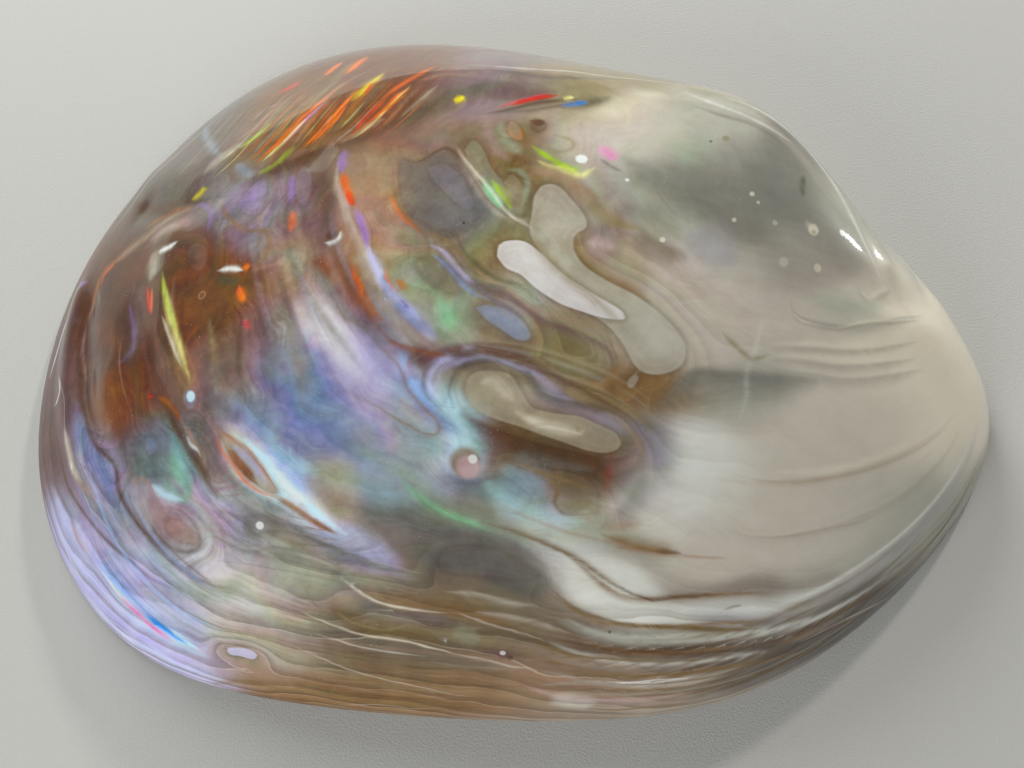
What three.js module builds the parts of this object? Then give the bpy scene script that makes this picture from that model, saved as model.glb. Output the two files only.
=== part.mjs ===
// One polished valve of a pearl shell, hollow below, resting on its rim with the domed outside up.
// Millimetres, +Z up. The valve is longest along X, its beak is near the +X end and its hinge edge faces +Y.
import * as THREE from "three";

// Driving dimensions.
const CROWN_X = 8.1;
const CROWN_Y = 4.5;
const CROWN_HEIGHT = 35.8;
const WALL_AT_CROWN = 3.4;
const RIM_WIDTH = 2.8;
const HINGE_RIM_WIDTH = 6.5;

// How finely the surface is divided.
const AROUND = 88;
const OUTER_RINGS = 40;
const INNER_RINGS = 14;

// The rim's control points: x, y and how full the dome stands over them, from 0.9 (bulging) to 1.8 (sloping).
const RIM = [
  [77.2, -15.9, 1.0],
  [67.9, -31.9, 1.07],
  [51.9, -47.9, 1.19],
  [32.1, -59.5, 1.34],
  [6.5, -61.8, 1.47],
  [-24.4, -59.8, 1.57],
  [-51.0, -55.4, 1.63],
  [-66.1, -41.9, 1.66],
  [-74.8, -23.4, 1.7],
  [-75.9, -2.5, 1.75],
  [-72.0, 18.4, 1.79],
  [-62.0, 36.8, 1.8],
  [-49.5, 52.5, 1.75],
  [-34.3, 61.0, 1.64],
  [-16.3, 61.6, 1.45],
  [3.0, 56.3, 1.2],
  [23.1, 47.5, 0.96],
  [40.5, 33.5, 0.93],
  [56.9, 15.3, 1.0],
  [73.0, -1.2, 1.01],
];

// Swellings of the dome: centre x and y, half lengths along and across, turn in radians, and shift in x, y and z.
const UMBO = [33.5, 18.3, 15.9, 8.6, -1.39, 0.6, 6.1, 5.0];
const BEAK = [53.5, 15.1, 9.8, 4.3, -1.19, 2.6, 3.5, 2.3];

// Ridges (raised) and grooves (lowered) of the outside: places passed through, half width and height.
const FOLDS = [
  { name: "crease below the hinge slope", width: 1.9, height: -0.7,
    through: [[10, 19], [-6, 18], [-21, 16], [-31, 13], [-37, 14], [-46, 19]] },
  { name: "swelling above that crease", width: 3.0, height: 0.6,
    through: [[8, 26], [-10, 25], [-27, 22], [-40, 22], [-54, 30]] },
  { name: "ridge down the middle", width: 1.7, height: 0.7,
    through: [[-15, 16], [-13, 8], [-11, 1], [-7, -6], [-1, -10], [5, -12], [10, -15]] },
  { name: "valley beside that ridge", width: 2.4, height: -0.8,
    through: [[-19, 14], [-18, 6], [-16, -2], [-11, -8], [-6, -13], [0, -15]] },
  { name: "second valley", width: 2.0, height: -0.7,
    through: [[-24, 12], [-22, 4], [-20, -2], [-17, -9], [-13, -14]] },
  { name: "pale lobe", width: 2.4, height: 0.7,
    through: [[-19, 0], [-15, -6], [-11, -11], [-6, -16]] },
  { name: "yellow ridge of the narrow end", width: 2.0, height: 0.8,
    through: [[-37, 10], [-35, 1], [-34, -4], [-30, -12]] },
  { name: "long groove", width: 2.0, height: -0.9,
    through: [[-37, -8], [-33, -14], [-28, -21], [-21, -26], [-14, -29], [-4, -31]] },
  { name: "copper groove", width: 1.6, height: -0.7,
    through: [[-28, -14], [-24, -20], [-19, -25], [-14, -28]] },
  { name: "blue ridge beside the copper groove", width: 2.0, height: 0.6,
    through: [[-25, -14], [-20, -20], [-14, -24], [-8, -27]] },
  { name: "outer groove of the narrow end", width: 2.0, height: -0.8,
    through: [[-54, 4], [-51, -4], [-48, -13], [-43, -20], [-39, -26], [-32, -31]] },
  { name: "outer ridge of the narrow end", width: 2.2, height: 0.6,
    through: [[-60, 8], [-57, -5], [-53, -15], [-47, -22], [-43, -29], [-36, -35]] },
  { name: "first front ridge", width: 1.7, height: 0.5,
    through: [[-22, -31], [-16, -33], [-11, -35], [-2, -37], [8, -37]] },
  { name: "second front ridge", width: 1.7, height: 0.5,
    through: [[-23, -36], [-16, -39], [-8, -41], [2, -42], [14, -42]] },
  { name: "third front ridge", width: 1.8, height: 0.4,
    through: [[-26, -41], [-16, -46], [-5, -49], [8, -50]] },
  { name: "crest across the front", width: 1.8, height: 0.6,
    through: [[-8, -22], [-2, -25], [6, -29], [11, -34], [18, -38], [30, -38]] },
  { name: "teal hollow", width: 2.6, height: -0.6,
    through: [[-13, -20], [-6, -23], [1, -28], [6, -33], [13, -37]] },
  { name: "growth step by the beak", width: 1.6, height: -0.5,
    through: [[29, 3], [34, -2], [41, -4], [49, -1], [53, 4]] },
  { name: "hollow before the beak", width: 2.6, height: -0.6,
    through: [[58, 13], [61, 7], [62, 0]] },
];

// Round lumps (raised) and pits (lowered) of the outside: x, y, half size and height.
const LUMPS = [
  { name: "ringed lump", x: 0, y: -14, size: 2.6, height: 0.6 },
  { name: "ringed lump's tail", x: 7, y: -17, size: 3.0, height: 0.6 },
  { name: "white pearl patch", x: 7, y: -4, size: 3.2, height: 0.5 },
  { name: "tongue of pearl", x: 14, y: -6, size: 3.2, height: 0.4 },
  { name: "pit between the two patches", x: 8, y: 3, size: 2.2, height: -0.5 },
  { name: "blister pearl", x: -3, y: -20, size: 1.7, height: 0.7 },
  { name: "narrow end's amber lump", x: -44, y: -8, size: 2.6, height: 0.7 },
  { name: "narrow end's lower lump", x: -36, y: -25, size: 2.6, height: 0.6 },
  { name: "narrow end's upper lump", x: -33, y: 6, size: 2.6, height: 0.5 },
  { name: "violet lump", x: -30, y: 12, size: 2.4, height: 0.6 },
];

// Scars of the closing muscles in the hollow: x, y, half sizes and depth.
const SCARS = [
  { x: 46, y: 2, along: 7, across: 5, depth: 0.7 },
  { x: -38, y: 16, along: 9, across: 7, depth: 0.7 },
];

// The ridge inside the hinge that locks the two valves: places passed through, half width and height.
const HINGE_TOOTH = { through: [[44, 19], [31, 31], [14, 43]], width: 2.4, height: 1.4 };

function rimPoint(turn, inset) {
  const span = ((turn % 1) + 1) % 1 * RIM.length;
  const first = Math.floor(span);
  const u = span - first;
  const weights = [(1 - u) ** 3, 3 * u ** 3 - 6 * u ** 2 + 4, -3 * u ** 3 + 3 * u ** 2 + 3 * u + 1, u ** 3];
  const point = [0, 0, 0];
  weights.forEach((weight, k) => {
    const corner = RIM[(first + k - 1 + RIM.length) % RIM.length];
    for (let axis = 0; axis < 3; axis += 1) {
      point[axis] += (weight * corner[axis]) / 6;
    }
  });
  if (inset > 0) {
    const ahead = rimPoint(turn + 0.002, 0);
    const behind = rimPoint(turn - 0.002, 0);
    const run = [ahead[0] - behind[0], ahead[1] - behind[1]];
    const length = Math.hypot(run[0], run[1]);
    // The rim runs clockwise seen from above, so its inner side is on the right of the run.
    point[0] += (run[1] / length) * inset;
    point[1] -= (run[0] / length) * inset;
  }
  return point;
}

function bellShape(x, y, swelling) {
  const [cx, cy, along, across, turn] = swelling;
  const l = ((x - cx) * Math.cos(turn) + (y - cy) * Math.sin(turn)) / along;
  const n = (-(x - cx) * Math.sin(turn) + (y - cy) * Math.cos(turn)) / across;
  return Math.exp(-0.5 * (l * l + n * n));
}

// The plain dome: out runs from 0 at the crown to 1 on the rim, turn from 0 to 1 around it.
// The place on the chart is (x, y) before the dome's sides are steepened; all surface detail is placed there.
function dome(out, turn, height, inset) {
  const [rimX, rimY, fullness] = rimPoint(turn, inset);
  const chartX = CROWN_X + out * (rimX - CROWN_X);
  const chartY = CROWN_Y + out * (rimY - CROWN_Y);
  const quarter = (out * Math.PI) / 2;
  const reach = Math.sin(quarter);
  const point = new THREE.Vector3(
    CROWN_X + reach * (rimX - CROWN_X),
    CROWN_Y + reach * (rimY - CROWN_Y),
    out >= 1 ? 0 : height * Math.cos(quarter) ** fullness,
  );
  for (const swelling of [UMBO, BEAK]) {
    const part = bellShape(chartX, chartY, swelling) * (1 - out ** 8);
    point.add(new THREE.Vector3(swelling[5], swelling[6], swelling[7]).multiplyScalar(part));
  }
  return { point, chartX, chartY };
}

function outward(out, turn, height, inset) {
  if (out === 0) {
    return new THREE.Vector3(0, 0, 1);
  }
  const step = 0.004;
  const outer = Math.min(out + step, 1);
  const radial = dome(outer, turn, height, inset).point.sub(dome(outer - 2 * step, turn, height, inset).point);
  const ahead = dome(out, turn + step, height, inset).point;
  const around = ahead.sub(dome(out, turn - step, height, inset).point);
  return around.cross(radial).normalize();
}

function distanceToLine(x, y, through) {
  let nearest = Infinity;
  for (let i = 0; i + 1 < through.length; i += 1) {
    const [ax, ay] = through[i];
    const [bx, by] = through[i + 1];
    const share = ((x - ax) * (bx - ax) + (y - ay) * (by - ay)) / ((bx - ax) ** 2 + (by - ay) ** 2);
    const held = Math.min(Math.max(share, 0), 1);
    nearest = Math.min(nearest, Math.hypot(x - ax - held * (bx - ax), y - ay - held * (by - ay)));
  }
  return nearest;
}

function outsideRelief(x, y) {
  let rise = 0;
  for (const fold of FOLDS) {
    rise += fold.height * Math.exp(-0.5 * (distanceToLine(x, y, fold.through) / fold.width) ** 2);
  }
  for (const lump of LUMPS) {
    rise += lump.height * Math.exp(-0.5 * (Math.hypot(x - lump.x, y - lump.y) / lump.size) ** 2);
  }
  return rise;
}

function insideRelief(x, y) {
  const fromTooth = distanceToLine(x, y, HINGE_TOOTH.through) / HINGE_TOOTH.width;
  let rise = -HINGE_TOOTH.height * Math.exp(-0.5 * fromTooth ** 2);
  for (const scar of SCARS) {
    const spread = Math.hypot((x - scar.x) / scar.along, (y - scar.y) / scar.across);
    rise += scar.depth * Math.exp(-(spread ** 4));
  }
  return rise;
}

// The rim is wider below the hinge, which lies between the beak and the far left of the +Y edge.
function rimWidth(turn) {
  const fromHinge = Math.abs(turn - 0.79) / 0.1;
  return RIM_WIDTH + (HINGE_RIM_WIDTH - RIM_WIDTH) * Math.exp(-(fromHinge ** 4));
}

function outsidePoint(out, turn) {
  const { point, chartX, chartY } = dome(out, turn, CROWN_HEIGHT, 0);
  const rise = outsideRelief(chartX, chartY) * (1 - out ** 12);
  return point.addScaledVector(outward(out, turn, CROWN_HEIGHT, 0), rise);
}

function insidePoint(out, turn) {
  const height = CROWN_HEIGHT - WALL_AT_CROWN;
  const inset = rimWidth(turn);
  const { point, chartX, chartY } = dome(out, turn, height, inset);
  const rise = insideRelief(chartX, chartY) * (1 - out ** 12);
  return point.addScaledVector(outward(out, turn, height, inset), rise);
}

// A crown point and then rings of points out to the rim.
function surfacePoints(place, rings) {
  const points = [place(0, 0)];
  for (let ring = 1; ring <= rings; ring += 1) {
    for (let step = 0; step < AROUND; step += 1) {
      points.push(place(ring / rings, step / AROUND));
    }
  }
  return points;
}

// The triangles of such a surface; turned over, they face the other way.
function surfaceTriangles(rings, first, turnedOver) {
  const triangles = [];
  const add = (a, b, c) => triangles.push(turnedOver ? [a, c, b] : [a, b, c]);
  for (let step = 0; step < AROUND; step += 1) {
    const next = (step + 1) % AROUND;
    add(first, first + 1 + next, first + 1 + step);
    for (let ring = 0; ring < rings - 1; ring += 1) {
      const here = first + 1 + ring * AROUND;
      const beyond = here + AROUND;
      add(here + step, here + next, beyond + next);
      add(here + step, beyond + next, beyond + step);
    }
  }
  return triangles;
}

function valveGeometry() {
  const outside = surfacePoints(outsidePoint, OUTER_RINGS);
  const inside = surfacePoints(insidePoint, INNER_RINGS);
  const triangles = [
    ...surfaceTriangles(OUTER_RINGS, 0, false),
    ...surfaceTriangles(INNER_RINGS, outside.length, true),
  ];
  const outerEdge = 1 + (OUTER_RINGS - 1) * AROUND;
  const innerEdge = outside.length + 1 + (INNER_RINGS - 1) * AROUND;
  for (let step = 0; step < AROUND; step += 1) {
    const next = (step + 1) % AROUND;
    triangles.push([outerEdge + step, outerEdge + next, innerEdge + next]);
    triangles.push([outerEdge + step, innerEdge + next, innerEdge + step]);
  }
  const geometry = new THREE.BufferGeometry().setFromPoints([...outside, ...inside]);
  geometry.setIndex(triangles.flat());
  // The middle of the outline comes to x = 0 and y = 0, and the rim stays on z = 0.
  geometry.computeBoundingBox();
  const middle = geometry.boundingBox.getCenter(new THREE.Vector3());
  geometry.translate(-middle.x, -middle.y, 0);
  geometry.computeVertexNormals();
  return geometry;
}

const nacre = new THREE.MeshStandardMaterial({ color: 0xb7aca2, roughness: 0.25, metalness: 0.1 });
const valve = new THREE.Mesh(valveGeometry(), nacre);
valve.name = "valve";

const group = new THREE.Group();
group.name = "pearl_shell_valve";
group.add(valve);

export default group;
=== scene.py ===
"""A polished pearl shell valve, domed side up, on a pale table.

All sizes of the shell are in millimetres until its mesh is made, in the frame of the CAD part:
+Z up, +X towards the beak end, +Y towards the hinge edge, the rim resting on z = 0.
Surface detail is placed on a flat chart of the dome: the place that a point of the dome would have
if the dome's sides were laid out evenly from the crown to the rim.
"""

import math

import bpy
import numpy as np
from bpy.props import FloatProperty, FloatVectorProperty, IntProperty, PointerProperty
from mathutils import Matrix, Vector


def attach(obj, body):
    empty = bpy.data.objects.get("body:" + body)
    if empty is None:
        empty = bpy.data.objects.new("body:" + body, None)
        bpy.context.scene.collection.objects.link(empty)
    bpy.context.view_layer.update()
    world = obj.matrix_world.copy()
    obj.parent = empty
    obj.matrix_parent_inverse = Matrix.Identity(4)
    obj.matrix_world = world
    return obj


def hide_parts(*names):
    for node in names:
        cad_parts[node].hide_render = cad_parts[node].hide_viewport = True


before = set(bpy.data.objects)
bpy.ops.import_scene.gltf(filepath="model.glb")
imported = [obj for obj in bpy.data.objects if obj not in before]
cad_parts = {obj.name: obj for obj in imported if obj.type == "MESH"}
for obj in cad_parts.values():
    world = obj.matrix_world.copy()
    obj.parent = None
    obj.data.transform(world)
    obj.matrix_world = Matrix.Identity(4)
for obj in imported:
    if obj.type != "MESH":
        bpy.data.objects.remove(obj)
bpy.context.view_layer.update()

bl_info = {
    "name": "Polished pearl shell",
    "version": (1, 0, 0),
    "blender": (4, 5, 0),
    "location": "3D View > Sidebar > Pearl shell",
    "description": "Makes one polished valve of a pearl shell, and the table it lies on",
    "category": "Object",
}

MM = 0.001

# The rim's control points: x, y and how full the dome stands over them, from 0.9 (bulging) to 1.8 (sloping).
RIM = [
    (77.2, -15.9, 1.0),
    (67.9, -31.9, 1.07),
    (51.9, -47.9, 1.19),
    (32.1, -59.5, 1.34),
    (6.5, -61.8, 1.47),
    (-24.4, -59.8, 1.57),
    (-51.0, -55.4, 1.63),
    (-66.1, -41.9, 1.66),
    (-74.8, -23.4, 1.7),
    (-75.9, -2.5, 1.75),
    (-72.0, 18.4, 1.79),
    (-62.0, 36.8, 1.8),
    (-49.5, 52.5, 1.75),
    (-34.3, 61.0, 1.64),
    (-16.3, 61.6, 1.45),
    (3.0, 56.3, 1.2),
    (23.1, 47.5, 0.96),
    (40.5, 33.5, 0.93),
    (56.9, 15.3, 1.0),
    (73.0, -1.2, 1.01),
]
CROWN = (8.1, 4.5)

# Swellings of the dome: centre x and y, half lengths along and across, turn in radians, shift in x, y and z.
UMBO = (33.5, 18.3, 15.9, 8.6, -1.39, 0.6, 6.1, 5.0)
BEAK = (53.5, 15.1, 9.8, 4.3, -1.19, 2.6, 3.5, 2.3)

# The rim's flat width below the hinge is greatest at this part of a turn round the rim.
HINGE_TURN = 0.79

# Ridges (raised) and grooves (lowered) of the outside: half width, height and the places passed through.
FOLDS = [
    ("crease below the hinge slope", 1.9, -0.7, [(10, 19), (-6, 18), (-21, 16), (-31, 13), (-37, 14), (-46, 19)]),
    ("swelling above that crease", 3.0, 0.6, [(8, 26), (-10, 25), (-27, 22), (-40, 22), (-54, 30)]),
    ("ridge down the middle", 1.7, 0.7, [(-15, 16), (-13, 8), (-11, 1), (-7, -6), (-1, -10), (5, -12), (10, -15)]),
    ("valley beside that ridge", 2.4, -0.8, [(-19, 14), (-18, 6), (-16, -2), (-11, -8), (-6, -13), (0, -15)]),
    ("second valley", 2.0, -0.7, [(-24, 12), (-22, 4), (-20, -2), (-17, -9), (-13, -14)]),
    ("pale lobe", 2.4, 0.7, [(-19, 0), (-15, -6), (-11, -11), (-6, -16)]),
    ("yellow ridge of the narrow end", 2.0, 0.8, [(-37, 10), (-35, 1), (-34, -4), (-30, -12)]),
    ("long groove", 2.0, -0.9, [(-37, -8), (-33, -14), (-28, -21), (-21, -26), (-14, -29), (-4, -31)]),
    ("copper groove", 1.6, -0.7, [(-28, -14), (-24, -20), (-19, -25), (-14, -28)]),
    ("blue ridge beside the copper groove", 2.0, 0.6, [(-25, -14), (-20, -20), (-14, -24), (-8, -27)]),
    ("outer groove of the narrow end", 2.0, -0.8, [(-54, 4), (-51, -4), (-48, -13), (-43, -20), (-39, -26), (-32, -31)]),
    ("outer ridge of the narrow end", 2.2, 0.6, [(-60, 8), (-57, -5), (-53, -15), (-47, -22), (-43, -29), (-36, -35)]),
    ("first front ridge", 1.7, 0.5, [(-22, -31), (-16, -33), (-11, -35), (-2, -37), (8, -37)]),
    ("second front ridge", 1.7, 0.5, [(-23, -36), (-16, -39), (-8, -41), (2, -42), (14, -42)]),
    ("third front ridge", 1.8, 0.4, [(-26, -41), (-16, -46), (-5, -49), (8, -50)]),
    ("crest across the front", 1.8, 0.6, [(-8, -22), (-2, -25), (6, -29), (11, -34), (18, -38), (30, -38)]),
    ("teal hollow", 2.6, -0.6, [(-13, -20), (-6, -23), (1, -28), (6, -33), (13, -37)]),
    ("growth step by the beak", 1.6, -0.5, [(29, 3), (34, -2), (41, -4), (49, -1), (53, 4)]),
    ("hollow before the beak", 2.6, -0.6, [(58, 13), (61, 7), (62, 0)]),
    ("fine ridge along the umbo's edge", 0.9, 0.4, [(23, 24), (29, 20), (33, 15.5), (36.5, 10), (39, 5), (42, 0)]),
]

# Round lumps (raised) and pits (lowered) of the outside: x, y, half size and height.
LUMPS = [
    ("ringed lump", 0, -14, 2.6, 0.6),
    ("ringed lump's tail", 7, -17, 3.0, 0.6),
    ("white pearl patch", 7, -4, 3.2, 0.5),
    ("tongue of pearl", 14, -6, 3.2, 0.4),
    ("pit between the two patches", 8, 3, 2.2, -0.5),
    ("blister pearl", -3, -20, 1.7, 0.7),
    ("narrow end's amber lump", -44, -8, 2.6, 0.7),
    ("narrow end's lower lump", -36, -25, 2.6, 0.6),
    ("narrow end's upper lump", -33, 6, 2.6, 0.5),
    ("violet lump", -30, 12, 2.4, 0.6),
]

# In the hollow: the scars of the closing muscles (x, y, half sizes, depth) and the hinge's locking ridge.
SCARS = [(46, 2, 7, 5, 0.7), (-38, 16, 9, 7, 0.7)]
HINGE_TOOTH = (2.4, 1.4, [(44, 19), (31, 31), (14, 43)])

# Colours of the nacre as they look in even light.
COLOURS = {
    "amber": "#9e6742",
    "ash": "#abab9f",
    "ash_blue": "#8f9aa6",
    "azure": "#60a8ff",
    "azure_grey": "#8f9fc0",
    "azure_pale": "#b4d2ff",
    "brass": "#94795c",
    "bronze": "#84694a",
    "copper": "#a06038",
    "copper_brown": "#8a5a42",
    "cream": "#e4ddcb",
    "cream_grey": "#ccc5b9",
    "dark_olive": "#4c4a34",
    "dark_rust": "#4e2c18",
    "island_white": "#d9d5d3",
    "ivory": "#f4ecdb",
    "khaki": "#8f8468",
    "khaki_pearl": "#a59b87",
    "lavender": "#dadcff",
    "lilac": "#bbb8d6",
    "lilac_grey": "#8f8a9c",
    "lilac_pearl": "#b9bbda",
    "lime": "#a8c850",
    "mauve": "#7f7072",
    "mint": "#90d8a8",
    "olive": "#857a5b",
    "olive_brown": "#6e5a38",
    "orange": "#ff8020",
    "orange_brown": "#b06a30",
    "pearl": "#b4b1a5",
    "pink": "#f0a0d0",
    "plum": "#684f50",
    "red": "#e03c30",
    "rose": "#e07880",
    "rose_grey": "#a08a86",
    "rose_pearl": "#c8b0b0",
    "russet": "#6c4632",
    "rust": "#6e4320",
    "rust_brown": "#5e3c26",
    "sage": "#96a38f",
    "salmon": "#f09070",
    "silver": "#e2e3dc",
    "sky": "#d6f4ff",
    "slate": "#66757c",
    "smoke": "#73726a",
    "soot": "#4b4a48",
    "steel": "#7f8db0",
    "stone": "#c0b9ae",
    "tan": "#a48b77",
    "taupe": "#766a56",
    "taupe_dark": "#5a5148",
    "teal": "#8cb0b2",
    "teal_pearl": "#98aab8",
    "umber": "#523822",
    "umber_grey": "#625c58",
    "violet": "#9a7ec0",
    "violet_smoke": "#6e6674",
    "warm_grey": "#938a80",
    "white": "#eef0ec",
    "yellow": "#f0e040",
    "yellow_white": "#f8f4b0",
}

# Wide soft areas of one colour: colour, strength, centre x and y, half lengths along and across, degrees turned.
ZONES = [
    ("rust hollow", "rust", 1, -28, -2, 5, 3, 110),
    ("violet shoulder", "lilac_grey", 1, -25, 11, 5.5, 3, 140),
    ("brown hollow", "plum", 1, -18, 9, 6, 3, 110),
    ("taupe ridge", "tan", 1, -10, 5, 6, 2.5, 105),
    ("blue flank", "steel", 1.2, -18, -15, 3.5, 3.5, 90),
    ("white-blue crest", "sky", 1, -20, -22, 3.5, 1.5, 135),
    ("white-blue crest's tail", "lilac", 0.8, -14, -28, 3.5, 1, 140),
    ("lobe", "lilac", 1, -11, -10, 4.5, 2.5, 125),
    ("smoky hollow", "smoke", 1, -6, -26, 4, 2, 160),
    ("smoky hollow's foot", "soot", 1, 0, -30, 4.5, 2, 165),
    ("lavender rim's foot", "lavender", 0.7, -43, -49, 5.5, 3.5, 30),
    ("pearl-grey foot", "silver", 1, -30, -35, 4.5, 3.5, 160),
    ("brown front", "taupe", 1, -17, -42, 7, 3.5, 170),
    ("brown rim", "brass", 1, -19, -50, 12, 4, 0),
    ("taupe front", "taupe", 1, -3, -38, 6.5, 3.5, 170),
    ("olive pool", "olive", 1, -1, 1, 3.5, 2, 155),
    ("green pool", "sage", 1, -5, -4, 3, 2, 130),
    ("olive ring", "olive", 1.1, 5, -9, 5, 1.5, 150),
    ("khaki ring", "khaki", 1, 7, 0, 3, 2, 130),
    ("olive ring's foot", "bronze", 1.1, 15, -14, 3.5, 1.5, 5),
    ("dark hollow", "umber", 1.3, 9, -20, 4.5, 1.5, 165),
    ("pale crest", "ash", 1, 10, -28, 5, 1.5, 160),
    ("umbo's bright flank", "cream_grey", 1, 15, 14, 4.5, 3.5, 70),
    ("smoky umbo", "smoke", 1.2, 21, 6, 6, 3, 160),
    ("smoky umbo, far side", "smoke", 1, 31, 9, 5, 3.5, 55),
    ("pearl flank", "stone", 1, 20, -7, 3, 2.5, 90),
    ("before the beak", "stone", 1, 37, -5, 6, 2, 10),
    ("cream end", "cream", 1.2, 51, -1, 8.5, 4.5, 35),
    # The white blaze is a painted reflection: a broad soft highlight laid into the colour.
    ("white blaze", "silver", 1.2, 20, -22, 3.5, 3, 5),
    ("cream front", "cream_grey", 1, 32, -26, 8.5, 3, 0),
    ("pale front bands", "tan", 0.8, 11, -45, 8.5, 3, 170),
    ("umbo's smoke", "smoke", 1.4, 28, 3, 6.5, 4, 160),
    ("umbo's smoke, front", "warm_grey", 1, 33, -2, 4, 1.5, 5),
    ("dark shore right of the islands", "bronze", 1, 16, -13, 2, 1, 180),
    ("lobe's tip", "ash_blue", 1, -6, -16, 2.5, 1.5, 140),
    ("lobe's bright root", "silver", 1, -14, -7, 4, 1, 120),
    ("dark valley right of the lobe", "taupe_dark", 1, -11, -6, 3, 1, 125),
    ("white band of the front, low", "warm_grey", 0.8, 31, -40, 9, 2, 175),
    ("bright ridge below the islands", "smoke", 1, 3, -31, 3, 1, 155),
    ("rose lump", "tan", 1, -36, -27, 4, 2.5, 180),
    ("teal hollow", "teal_pearl", 1.2, -9, -22, 3.5, 1.5, 165),
    ("pearl-grey foot, front", "stone", 1.3, -26, -40, 5.5, 4, 40),
    ("cream side", "cream_grey", 1, 38, -17, 7, 3, 0),
    ("olive ring, far side", "khaki_pearl", 1, 13, -2, 2.5, 2, 85),
    ("blue band right of the lobe", "azure_grey", 1, -7, -13, 2.5, 1, 135),
    ("blue-grey band", "sky", 1.3, -3, -17, 2, 1.5, 150),
    ("smoky band", "ash", 0.8, 24, -14, 3.5, 1.5, 0),
    ("brown round the white island", "khaki_pearl", 1.3, 10, -7, 2.5, 1.5, 150),
    ("brown round the white island, near", "ash", 1.2, 5, -5, 1.5, 1.5, 125),
    ("pale rim of the narrow end", "lavender", 1.4, -51, -38, 11.5, 3.5, 30),
    ("rim's inner blue", "lilac_pearl", 1, -48, -18, 5, 2.5, 130),
    ("copper lens's surround", "silver", 1.3, -22, -19, 2.5, 1.5, 135),
    ("dark narrow end", "tan", 0.6, -30, -9, 2, 1, 150),
    ("khaki of the smoky hollow", "khaki_pearl", 1.3, -15, -23, 2, 1.5, 150),
    ("green-brown saddle", "olive_brown", 1, 2, 11, 3.5, 2.5, 125),
    ("brown round the amber eye", "rust_brown", 1, -45, -10, 6, 4.5, 170),
    ("umbo's foot", "stone", 1, 24, -2, 5, 2.5, 165),
    ("hinge slope, narrow end", "taupe_dark", 1, -42, 25, 10.5, 7.5, 130),
    ("hinge slope", "bronze", 1, -24, 23, 10.5, 5, 115),
    ("hinge slope, top", "russet", 1.4, -12, 26, 7.5, 5, 90),
    ("hinge slope, grey part", "mauve", 1, 1, 26, 6, 4, 75),
    ("hinge edge by the umbo", "khaki", 1, 12, 24, 5.5, 5, 35),
    ("blue lump", "slate", 1, -36, -17, 3.5, 2.5, 160),
    ("blue-grey band, low", "slate", 0.8, 1, -23, 3, 1, 155),
    ("plum flank", "mauve", 1, -24, -9, 3.5, 3, 125),
    ("rusty narrow end", "dark_rust", 1.2, -47, 1, 8.5, 5.5, 155),
    ("violet-grey patch", "taupe_dark", 1, -4, 7, 3, 2, 120),
    ("tan saddle", "tan", 1, -19, 2, 3, 1.5, 120),
    ("brown bands, end", "soot", 1.5, 46, -42, 10, 3.5, 22),
    ("white band of the front", "warm_grey", 1, 30, -36, 7.5, 1.5, 0),
    ("plum shoulder", "rust_brown", 0.8, -39, 7, 9, 4.5, 175),
    ("pink flank", "mauve", 1, 12, 1, 1, 1, 85),
    ("far rim", "plum", 1, -58, -10, 10, 6.5, 145),
    ("grey-rose rim", "slate", 0.6, -38, -34, 4, 3, 15),
    ("cream edge", "ivory", 1.6, 53, -13, 7.5, 5, 10),
    ("grey-green hollow", "ash", 1.4, -14, -23, 1.5, 1.5, 155),
    ("olive front", "khaki_pearl", 0.9, -11, -35, 3, 1.5, 170),
    ("grey rim", "ash", 1, 54, -28, 10, 5.5, 175),
    ("white crest", "silver", 2.2, 12, -33, 5, 1.5, 140),
    ("brown line", "plum", 1, -4, -10, 2.5, 0.5, 160),
    ("dark hollow's tail", "taupe_dark", 1, 15, -19, 1.5, 1.5, 170),
    ("lilac flank", "azure_grey", 1, -22, -17, 2.5, 1, 130),
    ("beak side", "ash", 1, 41, 9, 8.5, 3.5, 50),
    ("blue rim", "lilac_grey", 1, -44, -27, 4.5, 3.5, 170),
    ("lavender rim", "lavender", 2, -45, -38, 9, 4.5, 35),
    ("dark front", "ash", 0.8, -17, -32, 4.5, 1.5, 160),
    ("dark front, low", "khaki", 0.8, -6, -35, 6, 1, 165),
    ("brown bands", "taupe_dark", 1.7, 26, -43, 12, 2.5, 175),
    ("amber eye's surround", "copper_brown", 1, -44, -11, 4, 2.5, 175),
    ("grey rim of the narrow end", "lavender", 0.9, -54, -32, 8.5, 6, 15),
    ("hinge slope's rim", "russet", 1, -18, 36, 8.5, 4, 160),
    ("hinge slope's rim, narrow end", "umber_grey", 1, -39, 33, 8, 4.5, 125),
    ("umbo's top", "ash", 1, 23, 16, 4.5, 3.5, 135),
    ("pale flank under the beam", "stone", 1, 22, -4, 4, 1.5, 140),
    ("cream side, far", "cream", 1, 48, -7, 7, 3.5, 15),
    ("olive pool of the saddle", "slate", 1, -2, 4, 2.5, 2, 135),
    ("olive line's pool", "smoke", 1, -4, -2, 1.5, 1, 130),
    ("white front", "cream_grey", 1.3, 33, -29, 7.5, 2, 5),
]

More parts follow.
